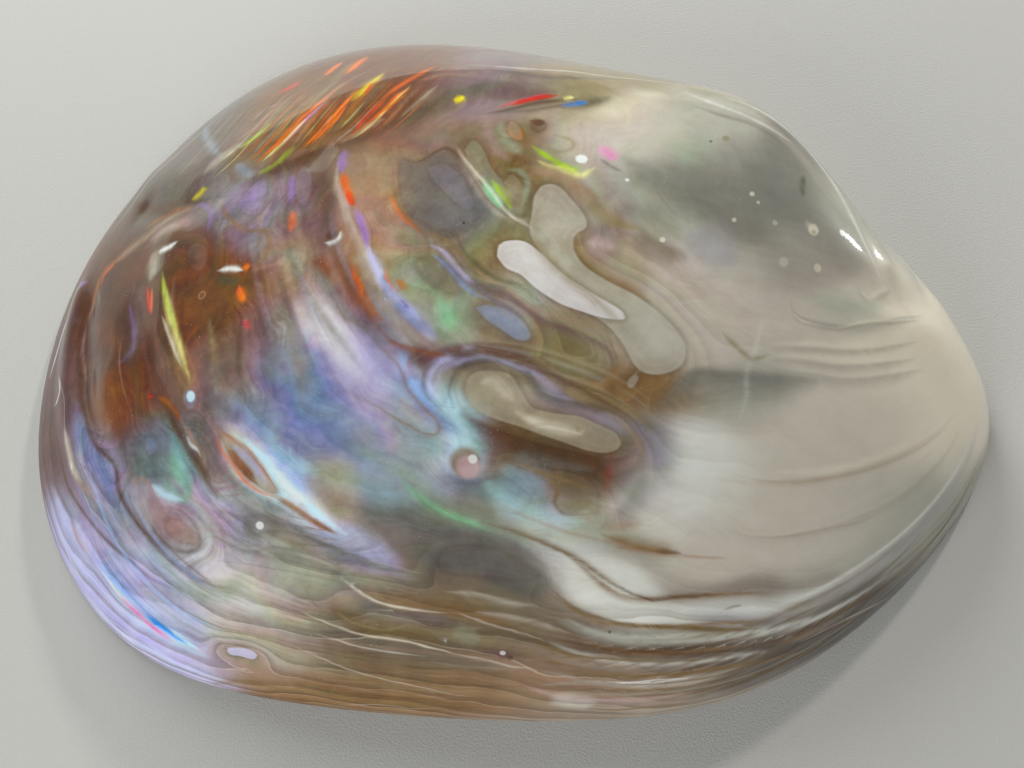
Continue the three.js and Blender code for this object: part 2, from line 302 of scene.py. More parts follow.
# Layers laid open by the polishing, with a crisp edge: colour, strength and closed outline.
PATCHES = [
    ("drop below the tongue", "pearl", 0.6,
     [(13.2, -13.2), (13.6, -12.6), (14.2, -12.2), (14.4, -12.6), (14, -13.4), (13.6, -13.6)]),
    ("grey-olive patch", "olive", 0.5,
     [(2, -20), (4.2, -20.6), (6.4, -21.2), (8.6, -21.6), (10.4, -22.8), (10.8, -24.4), (10.6, -25.6),
      (9.6, -24.8), (8.2, -25.4), (7, -25), (6.6, -24), (7, -23.4), (5.6, -22), (3.8, -21)]),
    ("copper lens", "brass", 0.75,
     [(-27.4, -15.6), (-26.2, -16.2), (-24.4, -17.8), (-22.4, -19.8), (-21.2, -21.8), (-20.8, -22.8),
      (-22, -22.8), (-23.6, -21.6), (-25.2, -19.6), (-26.6, -17.6)]),
    ("rose pearl", "rose_grey", 0.4,
     [(-41.4, -21.2), (-39.2, -20.4), (-36.2, -21.4), (-34, -23.2), (-31.2, -24.6), (-30, -26.6),
      (-31.4, -28.6), (-34.4, -29.2), (-36.8, -28), (-39.4, -25.4), (-41.2, -23.2)]),
    ("violet drop", "mauve", 0.4,
     [(-32.6, 6.6), (-31.4, 6.8), (-30, 5.8), (-29.6, 3.8), (-30.6, 3), (-32, 4.2)]),
    ("violet bean", "lilac_grey", 0.45,
     [(-20, 13.6), (-19.6, 15), (-18.4, 13.6), (-17.8, 10.6), (-18.2, 8.6), (-19.2, 9.4), (-19.8, 11.4)]),
    ("bright violet facet", "violet", 0.4,
     [(-27, 11.2), (-26.2, 13.6), (-24.8, 14.6), (-23.8, 13.4), (-23.6, 10.2), (-24.2, 9), (-25.8, 9.6)]),
    ("olive eye", "khaki_pearl", 0.5,
     [(2.2, 7.2), (2.8, 8.2), (3.6, 7.6), (4.2, 6), (4, 4.8), (3.4, 5), (2.6, 5.8)]),
    ("dark spot", "umber", 0.7, [(4.6, 15), (5.2, 16), (6.2, 15.4), (6.2, 14.2), (5.4, 13.6), (4.8, 14.2)]),
    ("teal lens", "azure_grey", 0.6,
     [(-0.4, -5.8), (0.8, -5.6), (2.6, -6.2), (4, -7.4), (4.6, -8.8), (3.4, -9), (2, -8), (0.6, -7)]),
    ("smoky lens", "umber_grey", 0.6,
     [(-5.2, -30.4), (-4, -29), (-1.6, -28.8), (1.2, -29.4), (3.2, -30.8), (5, -32), (3, -32.6), (0.2, -32),
      (-3, -32), (-4.8, -31.4)]),
    ("low violet bean", "lavender", 0.75,
     [(-32.6, -42.4), (-30.2, -42.2), (-28.8, -43), (-29.8, -44.2), (-31.4, -43.8), (-33, -43.6)]),
    ("olive lens", "taupe", 0.7,
     [(-6, -0.8), (-5, -0.4), (-3.8, -1), (-2.6, -2.4), (-2, -4), (-2.8, -4.4), (-4.2, -3.4), (-5.4, -2.2)]),
    ("green pool patch", "sage", 0.5,
     [(-1.6, 11.8), (-0.8, 13), (0.2, 11.6), (1, 9.2), (2.2, 7.2), (2.4, 5), (1.4, 5), (0.2, 7.2), (-1, 9.4)]),
    ("tongue of pearl", "pearl", 0.75,
     [(5, 5.6), (5.8, 6.8), (7.2, 6.8), (8.4, 5.4), (9.6, 3.6), (9.8, 2.2), (8.8, 1.4), (8.6, -0.2), (9.6, -2),
      (11.8, -3.6), (14, -4.8), (16.2, -6.4), (18, -8.2), (18.8, -9.8), (18.4, -11.4), (16.8, -12.2),
      (15.2, -12.2), (14, -11.4), (13, -9.6), (11.6, -7.8), (9.2, -6), (6.6, -3.2), (5.6, -0.6), (4.6, 1.6),
      (4.8, 3.8)]),
    ("island's inner ring", "olive", 0.45,
     [(-2.6, -13.2), (-1.8, -11.8), (0, -11.2), (2.2, -11.4), (3.8, -12.2), (5, -14), (6.8, -15.2),
      (9.8, -15.6), (12.4, -16.8), (14, -18.6), (14, -19.8), (12.4, -20.2), (10.6, -20), (7.6, -19.2),
      (4.6, -18.4), (2.4, -17.6), (-0.2, -16.6), (-2, -15.2)]),
    ("lilac lobe", "lilac_pearl", 0.35,
     [(-18.8, 1), (-17.2, -1), (-15.4, -3.6), (-13, -5.8), (-11, -7.2), (-9.6, -9), (-7.8, -10.8),
      (-6.8, -13.4), (-5, -15.4), (-3.8, -16.8), (-4.4, -17.8), (-6.4, -17.4), (-7.8, -16.2), (-9.4, -15),
      (-11.4, -13.8), (-13.2, -12.6), (-14.6, -10.4), (-16, -6.8), (-17.6, -3)]),
    ("amber eye", "amber", 0.3,
     [(-49.6, -7), (-43.6, -6.8), (-40.6, -8.8), (-41, -12.8), (-43.2, -14.8), (-46.4, -13.8),
      (-48.8, -10.8)]),
    ("blue eye", "slate", 0.35,
     [(-39.2, -16), (-36.6, -14.8), (-34.4, -15.8), (-33.2, -18.6), (-32, -21.6), (-34.6, -22.6),
      (-36.8, -20.4), (-39, -18.4)]),
    ("violet patch", "umber_grey", 0.7,
     [(-8, 11.8), (-6.2, 11), (-3.6, 12.2), (-2.2, 11), (-0.8, 8.4), (0.6, 5.4), (0.6, 3.4), (-1.6, 2),
      (-3.4, 1.8), (-5.2, 3.4), (-6.6, 4.4), (-7.6, 6), (-8, 8.6)]),
]

# Deeper layers laid open inside those, or lying over them.
INNER_PATCHES = [
    ("copper lens's heart", "copper_brown", 0.8,
     [(-26.4, -17.8), (-25.6, -18), (-24.4, -19.6), (-23.6, -20.8), (-24, -21), (-25.2, -20), (-26.2, -18.8)]),
    ("copper pearl", "copper_brown", 0.5,
     [(-35.4, -25.4), (-33.6, -25.2), (-32.2, -26.2), (-31.2, -27.2), (-31.6, -28.2), (-33.6, -28.2),
      (-35, -27.4), (-35.8, -26.6)]),
    ("cyan pearl", "ash_blue", 0.4,
     [(-36.8, -20.6), (-35, -20.4), (-33, -20.6), (-31.8, -21.4), (-31.6, -23), (-32.4, -23.4), (-34, -22.4),
      (-36, -21.6)]),
    ("orange petal", "tan", 0.6, [(2.4, 14.4), (2.8, 15.6), (3.6, 14.6), (4, 13), (3.6, 12.6), (2.8, 13.2)]),
    ("blue eye's middle", "steel", 0.5,
     [(-37.2, -15.6), (-36.2, -15.8), (-35.6, -16.8), (-36, -17.8), (-37, -17.6), (-37.4, -16.4)]),
    ("amber eye's middle", "rust", 0.45,
     [(-46, -10), (-44.4, -10), (-43.2, -10.6), (-43.2, -12), (-44.4, -12.4), (-46, -11.4)]),
    ("ringed island", "khaki_pearl", 0.8,
     [(-1.6, -13.6), (-1, -12.2), (0.6, -11.8), (2.6, -12.2), (3.6, -13.6), (4.6, -15.2), (6.4, -15.8),
      (9, -16.2), (10.8, -17), (12.4, -17.8), (12.8, -19), (11.6, -19.6), (9.8, -19.4), (7.6, -18.6),
      (5.4, -17.8), (3.4, -17), (1.6, -16.4), (-0.2, -15.6), (-1.2, -14.6)]),
    ("white island", "island_white", 0.9,
     [(1.6, -0.8), (1.8, 0.4), (2.8, 0.8), (4.2, 0.6), (5.6, -0.6), (7.6, -2.8), (9.2, -4), (11, -5.2),
      (12.6, -6.2), (13.2, -7), (12.6, -7.2), (11, -7), (9.2, -6.4), (7.2, -5.6), (5.2, -4.2), (3.8, -2.8),
      (2.4, -2)]),
    ("violet patch's light part", "lilac_grey", 0.4,
     [(-5.2, 10), (-3.6, 10.2), (-2.2, 9), (-1.2, 7), (-0.6, 5.2), (-1, 4.4), (-2, 5), (-3.4, 6.8),
      (-4.6, 8.4)]),
]

# Soft lines: colour, strength, width to the left and to the right, and the places passed through. Those named glint or
# spark are painted glints: small highlights in the nacre's rainbow colours.
STROKES = [
    # The three dark crease strokes are painted shade that darkens the crease below the hinge slope.
    ("dark crease, narrow end", "umber", 0.7, 0.6, 1.2,
     [(-62.2, 29.2), (-44.4, 18.6), (-38.6, 16.2), (-32.8, 14), (-28.8, 13.2)]),
    ("dark crease", "umber", 0.75, 0.5, 1.6,
     [(-27.2, 14.8), (-23.6, 15.8), (-20.6, 16.2), (-17.6, 16.2), (-14.6, 15.8), (-11.8, 17.2), (-8.8, 18.2)]),
    ("dark crease's far end", "dark_olive", 0.6, 0.6, 1.6,
     [(-10.8, 18.4), (-8.4, 18.2), (-6, 19.2), (-3, 21), (0.4, 22), (4.4, 21.6)]),
    ("red glint at the rim", "red", 0.9, 0.5, 0.5, [(-26.8, 33), (-25.4, 32.6), (-23.6, 33.2)]),
    ("orange spark", "orange", 0.95, 0.5, 0.5, [(-20, 32), (-19.4, 34.2), (-18.8, 36)]),
    ("orange spark 2", "orange", 0.9, 0.6, 0.6, [(-16.8, 30), (-16.2, 32.4), (-15.4, 35.8)]),
    ("yellow spark", "yellow", 0.8, 0.5, 0.5, [(-14.4, 22.4), (-12.8, 24.6), (-11.4, 27.2)]),
    ("tan streak", "khaki", 0.6, 0.8, 0.8, [(-20.6, 21.8), (-18.2, 28.2), (-16.8, 35.2)]),
    ("pale streak", "cream_grey", 0.5, 0.8, 0.8, [(-34, 18.6), (-31.4, 20.6), (-28, 21.6)]),
    ("brown streak", "taupe", 0.7, 0.9, 0.9, [(-29.8, 17.6), (-25.8, 19.6), (-22.8, 23.4), (-20.6, 26.4)]),
    ("dark streak", "bronze", 0.7, 1.0, 1.0, [(-18, 18.2), (-15.6, 20), (-13, 22.4), (-10.8, 24.4)]),
    ("salmon edge", "tan", 0.7, 0.6, 0.9,
     [(-33.6, 13.8), (-38.4, 14.2), (-42, 12.2), (-46.4, 11), (-51.2, 10)]),
    ("rusty edge", "orange_brown", 0.7, 0.5, 0.6,
     [(-47, 10.8), (-51.6, 9.8), (-52.6, 7.6), (-53.2, 5), (-54.4, 3.2)]),
    ("violet-brown rim lump", "plum", 0.7, 1.2, 1.2, [(-63.2, 11.8), (-59, 4.6), (-55.6, 2.8)]),
    ("violet glint at the rim", "violet", 0.7, 0.5, 0.5, [(-64.2, 10.4), (-60.2, 10.2), (-57.2, 9.8)]),
    ("rosy lobe", "rose_grey", 0.8, 1.1, 1.1, [(-41, 11.2), (-37.6, 11), (-35, 11.4), (-33.4, 10.2)]),
    ("white glint", "white", 0.95, 0.35, 0.4, [(-37.8, 7.6), (-35.8, 7.4), (-34.4, 8)]),
    ("copper side of that ridge", "rust", 0.8, 0.6, 1.0,
     [(-34.4, -1), (-32.8, -4.8), (-31.4, -7.6), (-30.2, -9.8)]),
    ("pale end of the yellow ridge", "cream_grey", 0.6, 1.2, 1.0, [(-39.4, 8.2), (-38.2, 6), (-38.4, 3.8)]),
    ("dark flank", "plum", 0.7, 1.6, 1.2, [(-42.6, 5.4), (-40, -0.2), (-39.8, -4.2), (-40.8, -7.2)]),
    ("orange spark 4", "orange", 0.8, 0.4, 0.4, [(-24.8, 2), (-23.8, 2)]),
    ("dark green facet", "dark_olive", 0.85, 0.7, 0.7, [(-28.2, 1.6), (-26, 0.6), (-24.6, 0.6)]),
    ("white spark", "white", 0.9, 0.3, 0.3, [(-28, 2.4), (-26.2, 2.2), (-24.6, 1.6)]),
    ("dark bay", "umber", 0.6, 1.2, 1.2, [(-17.8, 15.6), (-16.2, 10), (-15.4, 6.2), (-16.4, 4.2)]),
    # The ridge's pale tail is part of the painted glint along the middle ridge.
    ("ridge's pale tail", "lilac", 0.8, 0.6, 0.4, [(-7.4, -5), (-5.8, -7), (-4, -9)]),
    ("ridge's tan flank", "tan", 0.6, 1.5, 0.6, [(-14.4, 11.2), (-13.6, 6.8), (-12, 1.4), (-10, -3.4)]),
    ("edge of the long ridge", "plum", 0.85, 0.4, 1.2,
     [(-9.4, -8), (-7.6, -9.2), (-5.4, -10), (-2.6, -10), (-0.2, -9.8), (2.2, -10), (4.2, -10.8), (6.4, -12.4),
      (8.4, -14.4), (10.2, -15.6), (13, -16)]),
    ("lilac lip below it", "lilac", 0.5, 0.5, 1.2,
     [(3.4, -11.2), (5.8, -12.8), (7.8, -14.8), (9.8, -16), (13, -16.8), (15.8, -18)]),
    ("brown valley", "plum", 0.7, 1.4, 1.4,
     [(-17, 2), (-14.2, -1.4), (-12.2, -4.2), (-10.2, -6.8), (-7.6, -8.8)]),
    ("pale green root of the lobe", "sage", 0.8, 0.8, 0.8, [(-20, 3.4), (-18.6, 1.2), (-17.6, -1)]),
    ("tan flank by the lobe", "taupe", 0.6, 1.2, 0.5,
     [(-20.6, 1.4), (-19.6, -3), (-18.4, -7.6), (-17.6, -11.8), (-17.4, -14.8)]),
    ("red spark", "red", 0.9, 0.4, 0.4, [(-37.2, -10.6), (-36.6, -11)]),
    ("orange edge of the groove", "orange_brown", 0.8, 0.35, 0.35,
     [(-36, -10.8), (-34, -12.2), (-32.6, -13.8), (-32.2, -14.8)]),
    ("tan bank", "taupe", 0.6, 1.0, 1.0, [(-30.8, -14.4), (-29.4, -16.8), (-29, -19.6), (-26.8, -22)]),
    ("blue lip outside that line", "steel", 0.5, 0.6, 1.0,
     [(-52.4, -9), (-49.4, -14.8), (-45.4, -19), (-44, -22.2), (-40.8, -26), (-37.6, -29.8), (-34.2, -32.4)]),
    ("orange lip", "tan", 0.6, 0.7, 0.7,
     [(-54.6, -12.8), (-53, -16.4), (-52.2, -19.2), (-49, -21.2), (-46.8, -21.8)]),
    ("white spark on the rim", "white", 0.8, 0.4, 0.4, [(-52.8, -17.8), (-52, -18.8)]),
    ("second blue lip", "steel", 0.6, 1.0, 0.6,
     [(-52.6, -10.8), (-49.6, -16.4), (-46.8, -19.8), (-44.4, -23.4), (-42.2, -25.2)]),
    ("rim line", "plum", 0.6, 0.8, 0.5,
     [(-67, -14), (-62.6, -19), (-58.4, -22.4), (-55.4, -25.4), (-54.6, -29), (-51, -32.2)]),
    ("pale rim", "white", 0.5, 0.4, 0.9,
     [(-66.4, -31.4), (-63.2, -34.4), (-57.8, -39.6), (-53.4, -44.6), (-48.8, -49.4)]),
    ("green-grey lip", "sage", 0.5, 0.9, 0.9,
     [(-40.4, -33.4), (-36.4, -34.4), (-32.6, -34.8), (-29, -33.8), (-25, -30.6)]),
    ("thin copper line", "orange_brown", 0.7, 0.35, 0.35,
     [(-21.2, -23), (-19.6, -24.2), (-17.6, -26), (-15.4, -27.4)]),
    ("pearl by the lens", "smoke", 0.7, 0.8, 0.8,
     [(-25.4, -25.6), (-24.4, -26.2), (-24.4, -27.2), (-23.4, -27.6)]),
    ("contour 1", "umber_grey", 0.55, 0.3, 0.6,
     [(-29.8, -22), (-27.8, -24.4), (-25.2, -25.2), (-22.8, -25.2), (-20, -26.4), (-16.8, -28.4),
      (-13.8, -30.4), (-9.2, -31.6)]),
    ("contour 2", "smoke", 0.5, 0.3, 0.6,
     [(-30.6, -22.6), (-28.6, -25.8), (-26, -27.8), (-23.2, -28.8), (-20, -28), (-17, -29), (-13.6, -31.2),
      (-9.4, -32.8)]),
    ("contour 3", "smoke", 0.5, 0.3, 0.6,
     [(-31.4, -23.6), (-29.6, -26.4), (-27.2, -28.2), (-24.8, -29.2), (-21.2, -29.2), (-17.8, -30.4),
      (-14.4, -32.4), (-12.2, -34.6), (-9.8, -35.4)]),
    ("white spot on the rim", "silver", 0.7, 1.6, 1.6, [(6.2, -49.6), (8.8, -51.6), (12, -52)]),
    # The yellow bloom is a painted reflection: a warm soft glow on the umbo's flank.
    ("yellow bloom", "cream", 0.5, 2.0, 2.0, [(10.6, 16.8), (13.2, 18), (16.2, 20.2), (19.2, 22.2)]),
    ("tan far edge", "tan", 0.6, 0.4, 0.5,
     [(5.2, -11.2), (7.2, -13.4), (9.4, -14.6), (12, -15.6), (14, -17.8), (14.8, -19.8), (14.8, -21)]),
    ("brown shade under the island", "umber", 0.8, 0.6, 2.0,
     [(-2, -15), (0, -16.6), (2.6, -17.2), (5.2, -18.4), (7.8, -19.6), (10.4, -20.2), (12.8, -20)]),
    ("blue patch", "ash_blue", 0.7, 1.8, 1.8, [(1.4, -21.2), (3.8, -22.6), (5.2, -23.8)]),
    ("pale lower lip", "sky", 0.4, 1.0, 1.0, [(-0.2, -22.2), (3, -24.8), (6.4, -25.8), (9.8, -26.4)]),
    ("brown dash by the blaze", "tan", 0.5, 0.5, 0.5, [(10.6, -27), (13.4, -26.8), (15.4, -26.6)]),
    ("smoke line", "bronze", 0.5, 0.6, 1.2, [(11.2, -28.2), (14.8, -28.6), (19.2, -29.8)]),
    ("pink glint", "salmon", 0.95, 0.3, 0.3,
     [(-25.6, 17.2), (-24.4, 18.2), (-23, 19.2), (-21.6, 20.6), (-20, 22.6), (-18, 24.6), (-16.8, 26.6)]),
    ("pink glint's second strand", "pink", 0.8, 0.22, 0.22,
     [(-23.2, 18.4), (-21.4, 19.8), (-19.6, 21.8), (-17.4, 24)]),
    ("pink glint's third strand", "yellow_white", 0.7, 0.2, 0.2,
     [(-25, 17.2), (-23.2, 18.4), (-21, 20.4), (-19.2, 22.4)]),
    ("orange glint", "orange", 0.95, 0.25, 0.25,
     [(-20, 17.4), (-18.6, 18.6), (-17, 20), (-15.6, 21.8), (-14.4, 23.6), (-13.8, 25)]),
    ("orange glint's second strand", "salmon", 0.85, 0.25, 0.25,
     [(-19, 17.6), (-17.4, 19), (-15.8, 20.4), (-14.8, 22.2)]),
    ("rose glint", "red", 0.85, 0.25, 0.25, [(-13.8, 17.2), (-13, 18.8), (-11.8, 20.2), (-10.2, 22)]),
    ("rose glint's second strand", "salmon", 0.9, 0.3, 0.3,
     [(-13, 17.2), (-12, 18.8), (-10.4, 20), (-9, 21.8), (-7.6, 22.6)]),
    ("rose glint's third strand", "tan", 0.7, 0.4, 0.4,
     [(-14.8, 16), (-13.4, 17.2), (-12.2, 18.2), (-10.2, 18.8)]),
    ("red spark by the slope's top", "red", 0.8, 0.2, 0.2, [(-13, 23), (-12.6, 24.2), (-12.4, 25.4)]),
    ("slope's brown strand", "umber", 0.6, 0.4, 0.5,
     [(-23.4, 15.8), (-20.8, 18), (-17.6, 19.4), (-14.6, 21), (-12.2, 23.4)]),
    ("slope's brown strand 2", "umber", 0.55, 0.4, 0.5,
     [(-28, 19.2), (-25.2, 21.4), (-22.4, 24.8), (-20, 28.8)]),
    ("slope's brown strand 3", "umber", 0.6, 0.35, 0.45,
     [(-17, 17.6), (-14.4, 19), (-12, 21.4), (-10.2, 23.8)]),
    ("slope's tan strand", "tan", 0.6, 0.3, 0.3, [(-30, 22.2), (-27.4, 24.8), (-25.2, 28.2), (-22.6, 30)]),
    ("slope's rose strand", "rose_grey", 0.6, 0.3, 0.4, [(-29, 26.8), (-27.8, 28.8), (-25.4, 28.6)]),
    ("orange strand by the rim", "orange_brown", 0.7, 0.25, 0.3,
     [(-49.2, 27.4), (-46.8, 29.2), (-44.8, 31), (-41.6, 32.2)]),
    ("green streak", "lime", 0.75, 0.28, 0.28,
     [(-31.6, 19.8), (-30, 20.4), (-28.2, 21), (-26.2, 22.2), (-24.8, 23.8)]),
    ("green streak's pale strand", "yellow_white", 0.6, 0.2, 0.2, [(-31, 20), (-28.6, 21.4), (-26.6, 22.4)]),
    ("olive-yellow streak", "lime", 0.5, 0.35, 0.35,
     [(-25.4, 15.6), (-23.6, 16.2), (-22, 17.2), (-20.8, 18.2)]),
    ("yellow streak", "yellow", 0.75, 0.4, 0.5, [(-35.2, 15.4), (-33.6, 15.8), (-32.6, 17)]),
    ("worn blue mark", "ash_blue", 0.75, 0.6, 0.6, [(-44.6, 38), (-39, 30.2), (-34.6, 24.4), (-31, 20)]),
    ("worn blue mark 2", "ash_blue", 0.7, 0.6, 0.6, [(-28.8, 18.2), (-27.2, 16.6), (-25.8, 15.4)]),
    # A painted highlight along the upper rim's edge.
    ("pale line of the upper rim", "silver", 0.4, 0.3, 0.3,
     [(-57.2, 17.8), (-53.6, 22.8), (-49.4, 28), (-44.8, 33), (-38.6, 38)]),
    # Painted shade in the crease below the hinge slope.
    ("dark bay of the crease", "umber", 0.8, 0.5, 0.8,
     [(-53.6, 24.2), (-45.8, 19), (-40.2, 15.8), (-35.4, 14.4)]),
    ("orange edge below the crease", "orange_brown", 0.7, 0.3, 0.3,
     [(-44.6, 14), (-42, 14.8), (-38.8, 15.2), (-35.4, 14.4)]),
    # Painted shade in the crease below the hinge slope.
    ("dark bay of the crease 2", "umber", 0.85, 0.4, 0.6,
     [(-21.2, 16), (-19.4, 16.4), (-17.2, 16.2), (-15, 15)]),
    ("violet strands", "violet", 0.5, 0.3, 0.3, [(-34.8, 13), (-33.2, 13.8), (-30.4, 11), (-30.2, 8)]),
    ("brown loop", "bronze", 0.7, 0.35, 0.35,
     [(-29.2, 14.4), (-29, 11.6), (-27.2, 8.8), (-25, 7), (-22.8, 6.4), (-22, 4.2), (-23, 2), (-24.6, 0.8)]),
    ("red line", "salmon", 0.7, 0.4, 0.4, [(-19.8, 8.4), (-19.6, 6.8), (-19.6, 5.4)]),
    ("violet line", "violet", 0.6, 0.4, 0.4, [(-20.8, 14), (-20.2, 11.4), (-20, 9.2)]),
    # The ridge's rose, salmon, red, violet and lilac parts, its pale strand and its bright part are painted sheen:
    # glints along the top of the middle ridge.
    ("ridge's rose top", "violet", 0.7, 0.5, 0.4, [(-14.2, 14.6), (-14.2, 12.6), (-14, 10.8)]),
    ("ridge's salmon part", "salmon", 0.9, 0.5, 0.4, [(-14, 11.2), (-13.6, 9.4), (-13, 7.6), (-12.4, 6.4)]),
    ("ridge's red part", "red", 0.7, 0.35, 0.3, [(-13.2, 8.4), (-12.8, 7.2), (-12.2, 6.2)]),
    ("ridge's violet part", "violet", 0.9, 0.4, 0.3, [(-12.2, 6), (-11.6, 4.4), (-11, 2.6), (-10.6, 0.8)]),
    ("ridge's lilac part", "lavender", 0.8, 0.45, 0.4, [(-10.8, 1.6), (-10, -0.6), (-9.2, -2.4), (-8.4, -4.2)]),
    ("ridge's pale strand", "cream_grey", 0.6, 0.3, 0.5,
     [(-14.6, 12.8), (-14.4, 9.8), (-13.4, 7.2), (-12.6, 4.6), (-11.4, 1.8), (-10.2, -1.4), (-9, -3.8)]),
    ("ridge's bright part", "lavender", 0.95, 0.4, 0.35, [(-8.8, -2.8), (-8, -4.2), (-6.8, -5.6), (-5.4, -7)]),
    ("ridge's blue side", "steel", 0.7, 0.6, 0.7,
     [(-9.2, -2), (-8.4, -3.6), (-7.2, -5.4), (-5.6, -7.2), (-3.8, -8.6)]),
    ("lobe's olive edge", "olive", 0.75, 0.4, 0.5,
     [(-19.6, 2.4), (-18.2, 0.2), (-16.6, -3), (-14.6, -6.2), (-12.4, -9.2), (-11, -11.4)]),
    # The white crescent is a painted highlight.
    ("white crescent", "white", 0.95, 0.2, 0.3, [(-15.4, 3), (-14.6, 2.8), (-13.8, 3), (-13.6, 3.8)]),
    ("dark crescent", "umber", 0.85, 0.5, 0.5, [(-15.4, 4), (-14.6, 3.4), (-14.2, 4)]),
    ("copper edge right of the valley", "orange_brown", 0.7, 0.3, 0.5,
     [(-12.8, 1), (-11.6, -1.4), (-10.8, -3.8), (-10, -5.4), (-8.8, -6.8)]),
    ("dark blue side of the valley", "smoke", 0.7, 0.8, 0.6,
     [(-16.8, 0.6), (-14.6, -2.8), (-12.6, -5.6), (-10.2, -7.2), (-8.4, -8.6)]),
    # The yellow ridge and its green strand are painted highlights along the ridge of the narrow end.
    ("yellow ridge", "yellow_white", 0.85, 0.4, 0.5,
     [(-35.6, 3.2), (-34.4, -0.2), (-33.2, -3.2), (-32, -6), (-31, -8.4), (-30.2, -10.2)]),
    ("yellow ridge's green strand", "lime", 0.6, 0.3, 0.3, [(-36, 4.4), (-35, 1.2), (-33.6, -2), (-32.2, -5)]),
    ("yellow ridge's dark side", "umber", 0.7, 0.5, 0.5,
     [(-36, 1.6), (-34.6, -2.8), (-33.4, -6.2), (-31.6, -9.2), (-30.4, -11)]),
    ("red glint by that ridge", "red", 0.85, 0.3, 0.3, [(-39, 3.4), (-38.2, 1.4), (-37.2, -1)]),
    ("red glint's second strand", "salmon", 0.8, 0.25, 0.25, [(-37.8, 2.8), (-37.4, 0.8), (-37, -1)]),
    ("orange spark 3", "orange", 0.95, 0.4, 0.4, [(-25, -0.2), (-24.6, -1.2), (-24, -2.4)]),
    ("pink spark below it", "rose", 0.6, 0.35, 0.35, [(-24, -4.2), (-23.6, -5), (-23, -5.6)]),
    ("narrow end's strand 1", "umber", 0.55, 0.35, 0.5,
     [(-41.4, 1.2), (-39.4, -3.4), (-39.4, -6.2), (-41.6, -7.6)]),
    ("narrow end's strand 2", "violet", 0.45, 0.3, 0.3, [(-42.2, 2), (-40.4, -2), (-39.8, -5)]),
    ("narrow end's strand 3", "umber", 0.5, 0.4, 0.5,
     [(-25.2, -3.6), (-24.4, -6.8), (-24.4, -9.2), (-23.8, -11.8)]),
    ("narrow end's strand 4", "khaki", 0.45, 0.3, 0.4, [(-28.6, -2.8), (-27.6, -6.6), (-27.2, -9.6)]),
    ("narrow end's strand 5", "rose_grey", 0.4, 0.3, 0.4, [(-54.2, 2.8), (-53, -2.2), (-50.6, -7)]),
    ("narrow end's strand 6", "tan", 0.45, 0.3, 0.4, [(-52, 10.4), (-52.4, 8), (-49.8, 3.6)]),
    ("orange edge of the rim lump", "salmon", 0.6, 0.25, 0.35, [(-51.2, 7.2), (-51.2, 9.2), (-48.6, 10.2)]),
    ("rim's inner sparks", "tan", 0.7, 0.3, 0.4,
     [(-53.6, -13.4), (-53.2, -16), (-52.2, -18.6), (-50.4, -21), (-46.6, -23)]),
    ("rim spark", "white", 0.85, 0.25, 0.25, [(-53, -17.8), (-52.4, -19)]),
    ("dark line round the eyes", "umber", 0.85, 0.55, 0.35,
     [(-52.4, -6.4), (-50.2, -11.4), (-47.8, -15.4), (-43.8, -18.4), (-43.2, -21.6), (-41, -25.2),
      (-37.8, -28.6), (-34.8, -31.4), (-31.6, -33.2), (-28.2, -33.6)]),
    ("outer dark line", "umber", 0.75, 0.5, 0.35,
     [(-60, -11.8), (-56.8, -16.2), (-55.2, -20.6), (-51.6, -24.2), (-47.4, -27.6), (-43, -30.2),
      (-39.4, -32.8), (-36, -34)]),
    ("panel of the rim", "rose_pearl", 0.5, 0.8, 0.8, [(-55.8, -26), (-54, -28.6), (-51.4, -30.8)]),
    ("dark brown groove", "umber", 0.9, 0.6, 0.5,
     [(-36.6, -11), (-34.2, -12.8), (-33, -15.2), (-31.8, -17.2), (-30.2, -19.4), (-29, -21.6), (-28, -23.4)]),
    ("groove's lit bank", "tan", 0.7, 0.3, 0.4,
     [(-32.4, -13.8), (-31.2, -15.8), (-29.6, -18.4), (-29.2, -20.2)]),
    # The white squiggle is a painted glint.
    ("white squiggle", "white", 0.95, 0.2, 0.2, [(-31.4, -16), (-31.2, -17), (-30.4, -17.6), (-30, -18.4)]),
    ("violet shade by the groove", "violet_smoke", 0.6, 0.8, 0.8,
     [(-28, -11.4), (-26.6, -13), (-24.8, -14.8), (-23.8, -13.4)]),
    ("teal crescent of the blue eye", "mint", 0.4, 0.4, 0.4,
     [(-35.2, -20.4), (-33.8, -22), (-32.2, -23.2), (-31.6, -22), (-32.2, -20.4)]),
    ("teal bank of the blue eye", "teal", 0.7, 0.8, 0.8,
     [(-33.8, -15.4), (-32.6, -18.2), (-31.8, -20.4), (-31.2, -22.6)]),
    ("ring outside the rose pearl", "rose_grey", 0.7, 0.3, 0.4,
     [(-41.4, -22), (-40.6, -20.8), (-38, -20.6), (-36.2, -22.4), (-35.6, -24.4)]),
    ("ring outside the rose pearl 2", "umber_grey", 0.6, 0.25, 0.35,
     [(-38.8, -23.6), (-37.6, -26.8), (-35.8, -28.6), (-33.2, -29.2), (-31.2, -28.2), (-31.2, -26.4),
      (-32.6, -24.6), (-35.2, -23.8)]),
    ("lens's pale rim", "cream_grey", 0.8, 0.25, 0.3,
     [(-27.4, -16), (-26.4, -18.6), (-24.8, -20.8), (-23.2, -22.2), (-21.4, -23.2), (-22, -21.4),
      (-23.2, -19.6), (-25, -17.8), (-27, -16.4)]),
    ("lens's copper core", "copper", 0.9, 0.35, 0.35,
     [(-26, -18.4), (-25.2, -19.6), (-24.2, -20.8), (-23, -22)]),
    # The white-blue crest line and its white part are painted sheen: a bright reflection along the crest, over the
    # crest's own blue-grey.
    ("white-blue crest line", "sky", 0.98, 0.5, 0.9,
     [(-24, -16.8), (-22, -18.8), (-20.4, -21), (-18.8, -23), (-17.2, -24.8), (-15.6, -26.4), (-14.2, -27.6)]),
